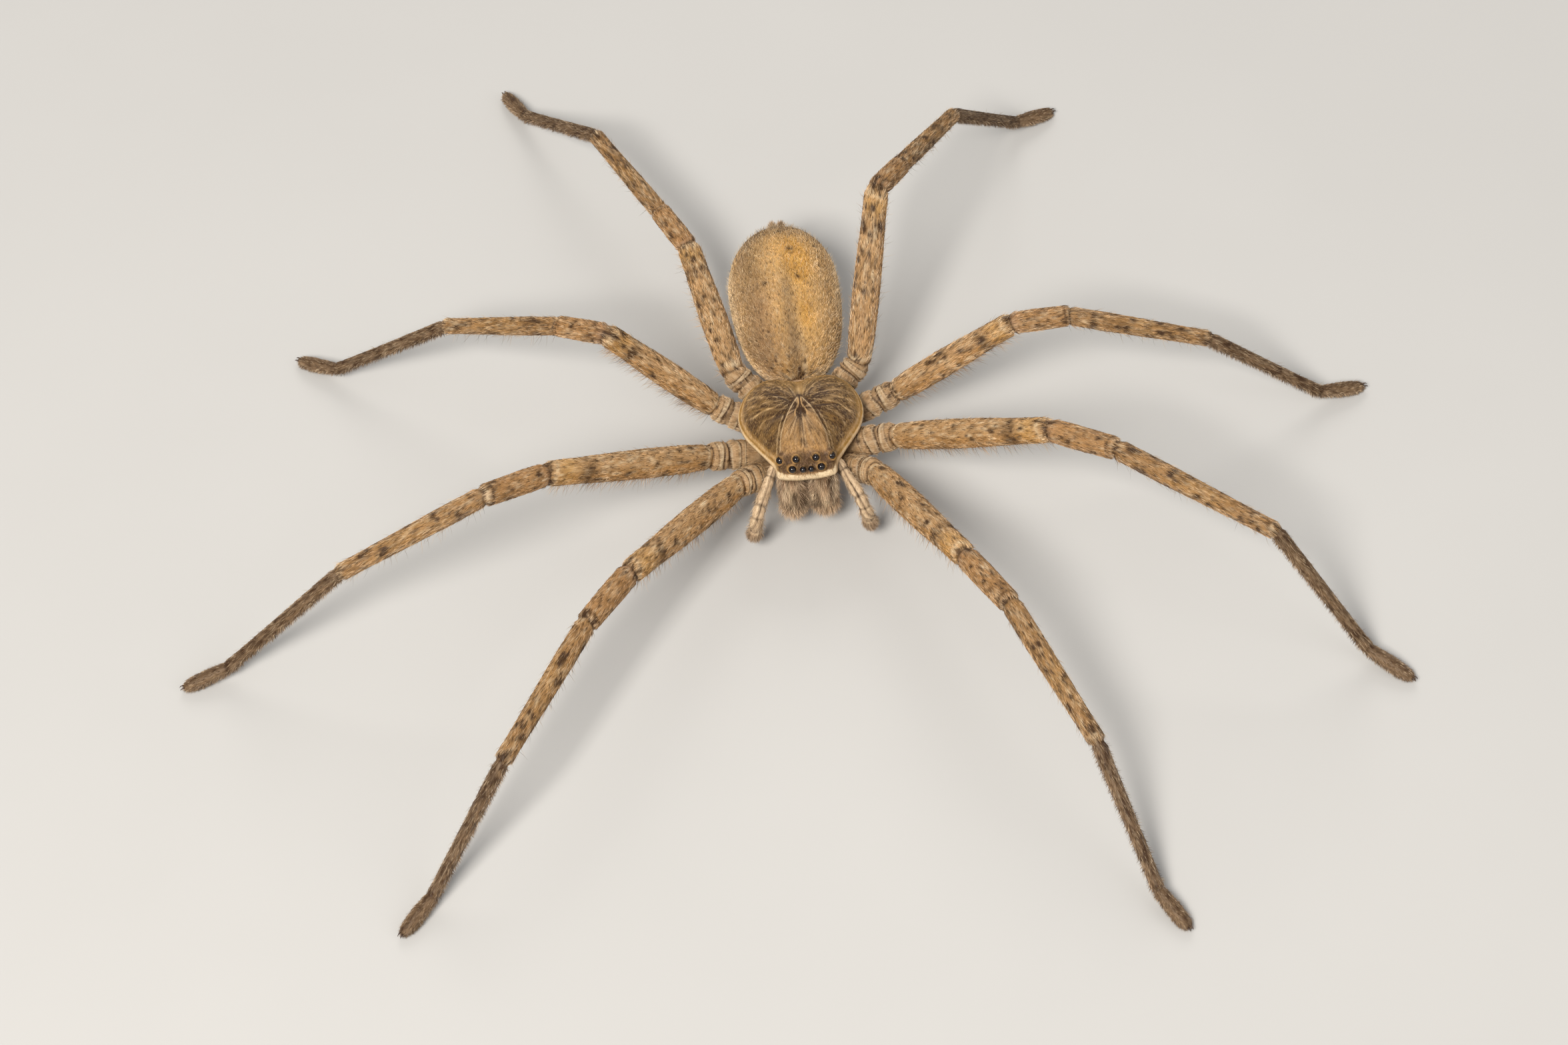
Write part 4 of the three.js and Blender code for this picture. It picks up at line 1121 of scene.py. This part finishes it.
def palp_coat(skin):
    share = skin.row_shares()
    return [
        grow(skin, "palp_short", 0.5 + 0.8 * smooth(0.7, 0.85, share)),
        grow(skin, "palp_long", 0.5 + 2.6 * smooth(0.75, 0.85, share)),
    ]


def make_front_body():
    shield = shield_skin()
    dress_fur("shield", "shield", shield, shield_coat(shield), "carapace")
    under = under_skin()
    dress_fur("under", "under", under, [grow(under, "under")], "sternum")
    stalk = stalk_skin()
    dress_fur("under", "stalk", stalk, [grow(stalk, "stalk")], "pedicel")


def make_jaws_and_palps():
    for side, label in SIDES:
        jaw = jaw_skin(side)
        dress_fur("jaw", "jaw_" + label, jaw, jaw_coat(jaw), "chelicera_" + label)
        fang = horn([(side * x, y, z) for x, y, z in FANG_PATH], FANG_RADIUS, 18, 30)
        dress(fang.mesh(f"fang_{label}_smooth"), hard_looks["fang"], "dark_claw", "fang_" + label)
        palp = palp_skin(side)
        dress_fur("palp", "palp_" + label, palp, palp_coat(palp), "palp_" + label)


def make_eyes():
    turn = turns(40)[None]
    polar = np.linspace(0.05, math.pi - 0.05, 28)[:, None]
    ball = np.stack([
        np.sin(polar) * np.sin(turn), -np.cos(polar) * np.ones_like(turn), np.sin(polar) * np.cos(turn),
    ], -1)
    for name, centre, radius, _, share in each_eye():
        skin = Skin(ball * (radius * share) + centre, no_masks(ball.shape[:2]))
        dress(skin.mesh(name + "_ball"), hard_looks["eye"], "eye_lens", name)


# Rear body
def abdomen_place(y):
    """Share of the abdomen's length, from its front."""
    return (y - ABDOMEN_FRONT_Y) / (ABDOMEN_REAR_Y - ABDOMEN_FRONT_Y)


def abdomen_skin():
    polar = np.linspace(0.012, math.pi - 0.012, ABDOMEN_ROWS)[:, None]
    turn = turns(ABDOMEN_COLS)[None]
    along = -np.cos(polar) * np.ones_like(turn)
    front = np.clip(-along, 0, 1)
    fuller = (1 - front ** ABDOMEN_BLUNTNESS) ** (1 / ABDOMEN_BLUNTNESS) / np.sqrt(1 - front ** 2)
    ux, uz = np.sin(polar) * np.sin(turn) * fuller, np.sin(polar) * np.cos(turn) * fuller
    reach = np.where(along > 0, ABDOMEN_REAR_Y - ABDOMEN_WIDEST_Y, ABDOMEN_WIDEST_Y - ABDOMEN_FRONT_Y)
    y = ABDOMEN_WIDEST_Y + along * (reach - ABDOMEN_COAT)
    drop = ABDOMEN_REAR_DROP * np.maximum(0, along) ** 2 + ABDOMEN_FRONT_DROP * np.maximum(0, -along) ** 3
    centre_x = ABDOMEN_SHIFT_X * np.minimum(1, 1 + along)
    x = ux * (ABDOMEN_HALF_WIDTH - ABDOMEN_COAT) + centre_x
    z = ABDOMEN_Z - drop + uz * (ABDOMEN_HALF_HEIGHT - ABDOMEN_COAT)
    points = np.stack([x, y, z], -1)
    skin = Skin(points, no_masks(x.shape))
    place = abdomen_place(y)
    off = (x - centre_x) / ABDOMEN_HALF_WIDTH
    top = smooth(-0.05, 0.3, uz)
    size = ABDOMEN_DOT_RADIUS
    dots = sum(bell(x, dot_x, size) * bell(y, dot_y, size) for dot_x, dot_y in ABDOMEN_DOTS) * top
    furrow = bell(off, 0.03, 0.13) * smooth(0.62, 0.35, place) * top
    lungs = sum(bell(x, side * 1.25, 0.75) for side, _ in SIDES) * bell(place, 0.14, 0.06) * (1 - top)
    slit = bell(x, 0, 0.6) * bell(place, 0.2, 0.04) * (1 - top)
    lift = 0.1 * lungs + 0.14 * slit - 0.12 * dots - 0.05 * furrow
    points = points + skin.normal * lift[..., None]
    masks = abdomen_masks(points, place, off, uz, top, furrow)
    mark(masks, dark=0.9 * dots + 0.35 * slit)
    return Skin(points, masks)


def abdomen_masks(points, place, off, uz, top, furrow):
    """Markings of the velvet, greyer at the rear; the gold over the back's left is painted light and the
    grey on its right painted shade.
    """
    masks = no_masks(off.shape)
    add_flecks(points, masks, "abdomen")
    rear = smooth(0.8, 0.97, place)
    # Painted light: amber patches on the back, most on its left
    amber_light_pool = bell(off, 0.3, 0.26) * (bell(place, 0.56, 0.15) + 0.8 * bell(place, 0.24, 0.14))
    amber_light_pool = amber_light_pool + 0.45 * bell(off, 0.05, 0.45) * bell(place, 0.72, 0.13)
    centre_light = bell(off, 0.0, 0.55) * bell(place, 0.55, 0.25) * top
    mark(masks, grey=0.5 * furrow + 0.2 * rear + 0.25 * smooth(0.15, -0.4, uz) * place)
    # The grey on the back's right side is painted shade
    mark(masks, grey=(0.3 * bell(off, 0.72, 0.18) + 0.5 * bell(off, -0.62, 0.3)) * top)
    mark(masks, grey=0.3 * smooth(0.7, 0.95, place) * top)
    # Painted light: the amber patches are made warmer and paler
    mark(masks, warm=top * (0.2 + 0.9 * amber_light_pool + 0.3 * centre_light))
    mark(masks, pale=0.6 * smooth(0.75, 0.97, np.abs(off)) + 0.8 * amber_light_pool * top + 0.36 * centre_light)
    mark(masks, pale=0.35 * bell(off, 0.17, 0.05) * smooth(0.45, 0.2, place) * top)
    mark(masks, pale=0.6 * smooth(0.2, -0.3, uz) * (1 - 0.6 * rear))
    mark(masks, pink=0.25 * bell(off, -0.45, 0.25) * smooth(0.6, 0.3, place))
    # The dark on the back's right side is painted shade; the dark along the furrow is the velvet's own
    mark(masks, dark=0.14 * furrow + 0.2 * bell(off, -0.58, 0.3) * top)
    mark(masks, dark=0.36 * smooth(0.68, 0.92, place) * (1 - 0.5 * amber_light_pool))
    mark(masks, dark=0.2 * smooth(0.3, 0.08, place) * top * (1 - amber_light_pool))
    return masks


def abdomen_coat(skin):
    at_rear = smooth(0.85, 0.97, abdomen_place(skin.points[..., 1]))

    def longer_at_rear(roots):
        rear = smooth(17.5, 19.5, roots["points"][:, 1])
        return 0.25 * rear, -12 * rear

    paint = {"warm": 0.0, "grey": 0.2, "pale": 0.75}
    return [
        grow(skin, "abdomen_short"),
        grow(skin, "abdomen_fuzz", 1 + 2.5 * at_rear, paint=paint, more=longer_at_rear),
    ]


def spinneret_skins():
    centre = np.array((ABDOMEN_SHIFT_X, ABDOMEN_REAR_Y - 0.1, ABDOMEN_Z - ABDOMEN_REAR_DROP))
    share = np.linspace(0, 1, SPINNERET_ROWS)
    radii = SPINNERET_RADIUS - 0.1 * share - 0.12 * smooth(0.85, 1, share) + 0.02 * bell(share, 0.55, 0.08)
    found = []
    for clock in SPINNERET_CLOCK:
        turn = math.radians(clock)
        out = np.array((math.sin(turn), 0, math.cos(turn)))
        start = centre + out * 0.3
        end = start + np.array((0, SPINNERET_LENGTH, 0)) + out * 0.2
        points, _ = tube(np.linspace(start, end, SPINNERET_ROWS), radii, 16)
        masks = no_masks(points.shape[:2])
        mark(masks, pale=0.4, grey=0.35, dark=0.3 * bell(share, 0.6, 0.06)[:, None])
        found.append(Skin(points, masks))
    return found


def make_rear_body():
    abdomen = abdomen_skin()
    dress_fur("abdomen", "abdomen", abdomen, abdomen_coat(abdomen), "abdomen")
    spinnerets = spinneret_skins()
    hair = [grow(skin, "spinneret") for skin in spinnerets]
    dress(build_coat("coat_spinnerets", hair), coat_looks["under"], SLOTS["under"])
    dress(join("skin_spinnerets", spinnerets), skin_looks["under"], SLOTS["under"], "spinnerets")


# Floor, light and camera
def make_floor():
    corners = [(FLOOR_HALF * x, FLOOR_HALF * y, 0) for x, y in ((-1, -1), (1, -1), (1, 1), (-1, 1))]
    mesh = bpy.data.meshes.new("floor")
    mesh.from_pydata(corners, [], [(0, 1, 2, 3)])
    floor = add_object("floor", mesh)
    nodes = Nodes("floor_plain")
    nodes.colour(nodes.mix(nodes.noise(30, 3), *FLOOR_COLOURS))
    mesh.materials.append(nodes.finish(Roughness=0.85))


def make_lights():
    world = bpy.data.worlds.new("soft")
    world.use_nodes = True
    sky = world.node_tree.nodes["Background"].inputs
    sky[0].default_value = SKY_COLOUR
    sky[1].default_value = SKY_STRENGTH
    bpy.context.scene.world = world
    bpy.context.scene.view_settings.view_transform = "Standard"
    for name, (place, power, size, colour) in LIGHTS.items():
        data = bpy.data.lights.new(name, "AREA")
        data.energy = power
        data.size = size
        data.color = colour
        light = add_object(name, data)
        light.location = Vector(place)
        light.rotation_euler = (-Vector(place)).to_track_quat("-Z", "Y").to_euler()


def make_camera():
    elevation, azimuth, roll = (math.radians(v) for v in (CAMERA_ELEVATION, CAMERA_AZIMUTH, CAMERA_ROLL))
    level = math.cos(elevation)
    back = np.array((math.sin(azimuth) * level, -math.cos(azimuth) * level, math.sin(elevation)))
    right = unit(np.cross(-back, UP))
    above = np.cross(right, -back)
    turned = right * math.cos(roll) + above * math.sin(roll)
    above = above * math.cos(roll) - right * math.sin(roll)
    place = (np.array(CAMERA_AIM) + back * CAMERA_DISTANCE + BODY_ORIGIN) * MM
    data = bpy.data.cameras.new("camera")
    data.lens = CAMERA_LENS
    data.sensor_width = CAMERA_SENSOR
    data.clip_start, data.clip_end = CAMERA_CLIP
    camera = add_object("camera", data)
    axes = Matrix([list(turned), list(above), list(back)]).transposed()
    camera.matrix_world = Matrix.Translation(Vector(place)) @ axes.to_4x4()
    bpy.context.scene.camera = camera


make_camera()
skin_looks = {part: skin_material(part + "_skin_look", *look) for part, look in SKIN_LOOKS.items()}
coat_looks = {part: coat_material(part + "_coat_look", *look) for part, look in COAT_LOOKS.items()}
coat_looks["under"] = coat_looks["leg"]
hard_looks = {part: hard_material(part + "_look", *look) for part, look in HARD_LOOKS.items()}
make_legs()
make_front_body()
make_jaws_and_palps()
make_rear_body()
make_eyes()
make_floor()
make_lights()
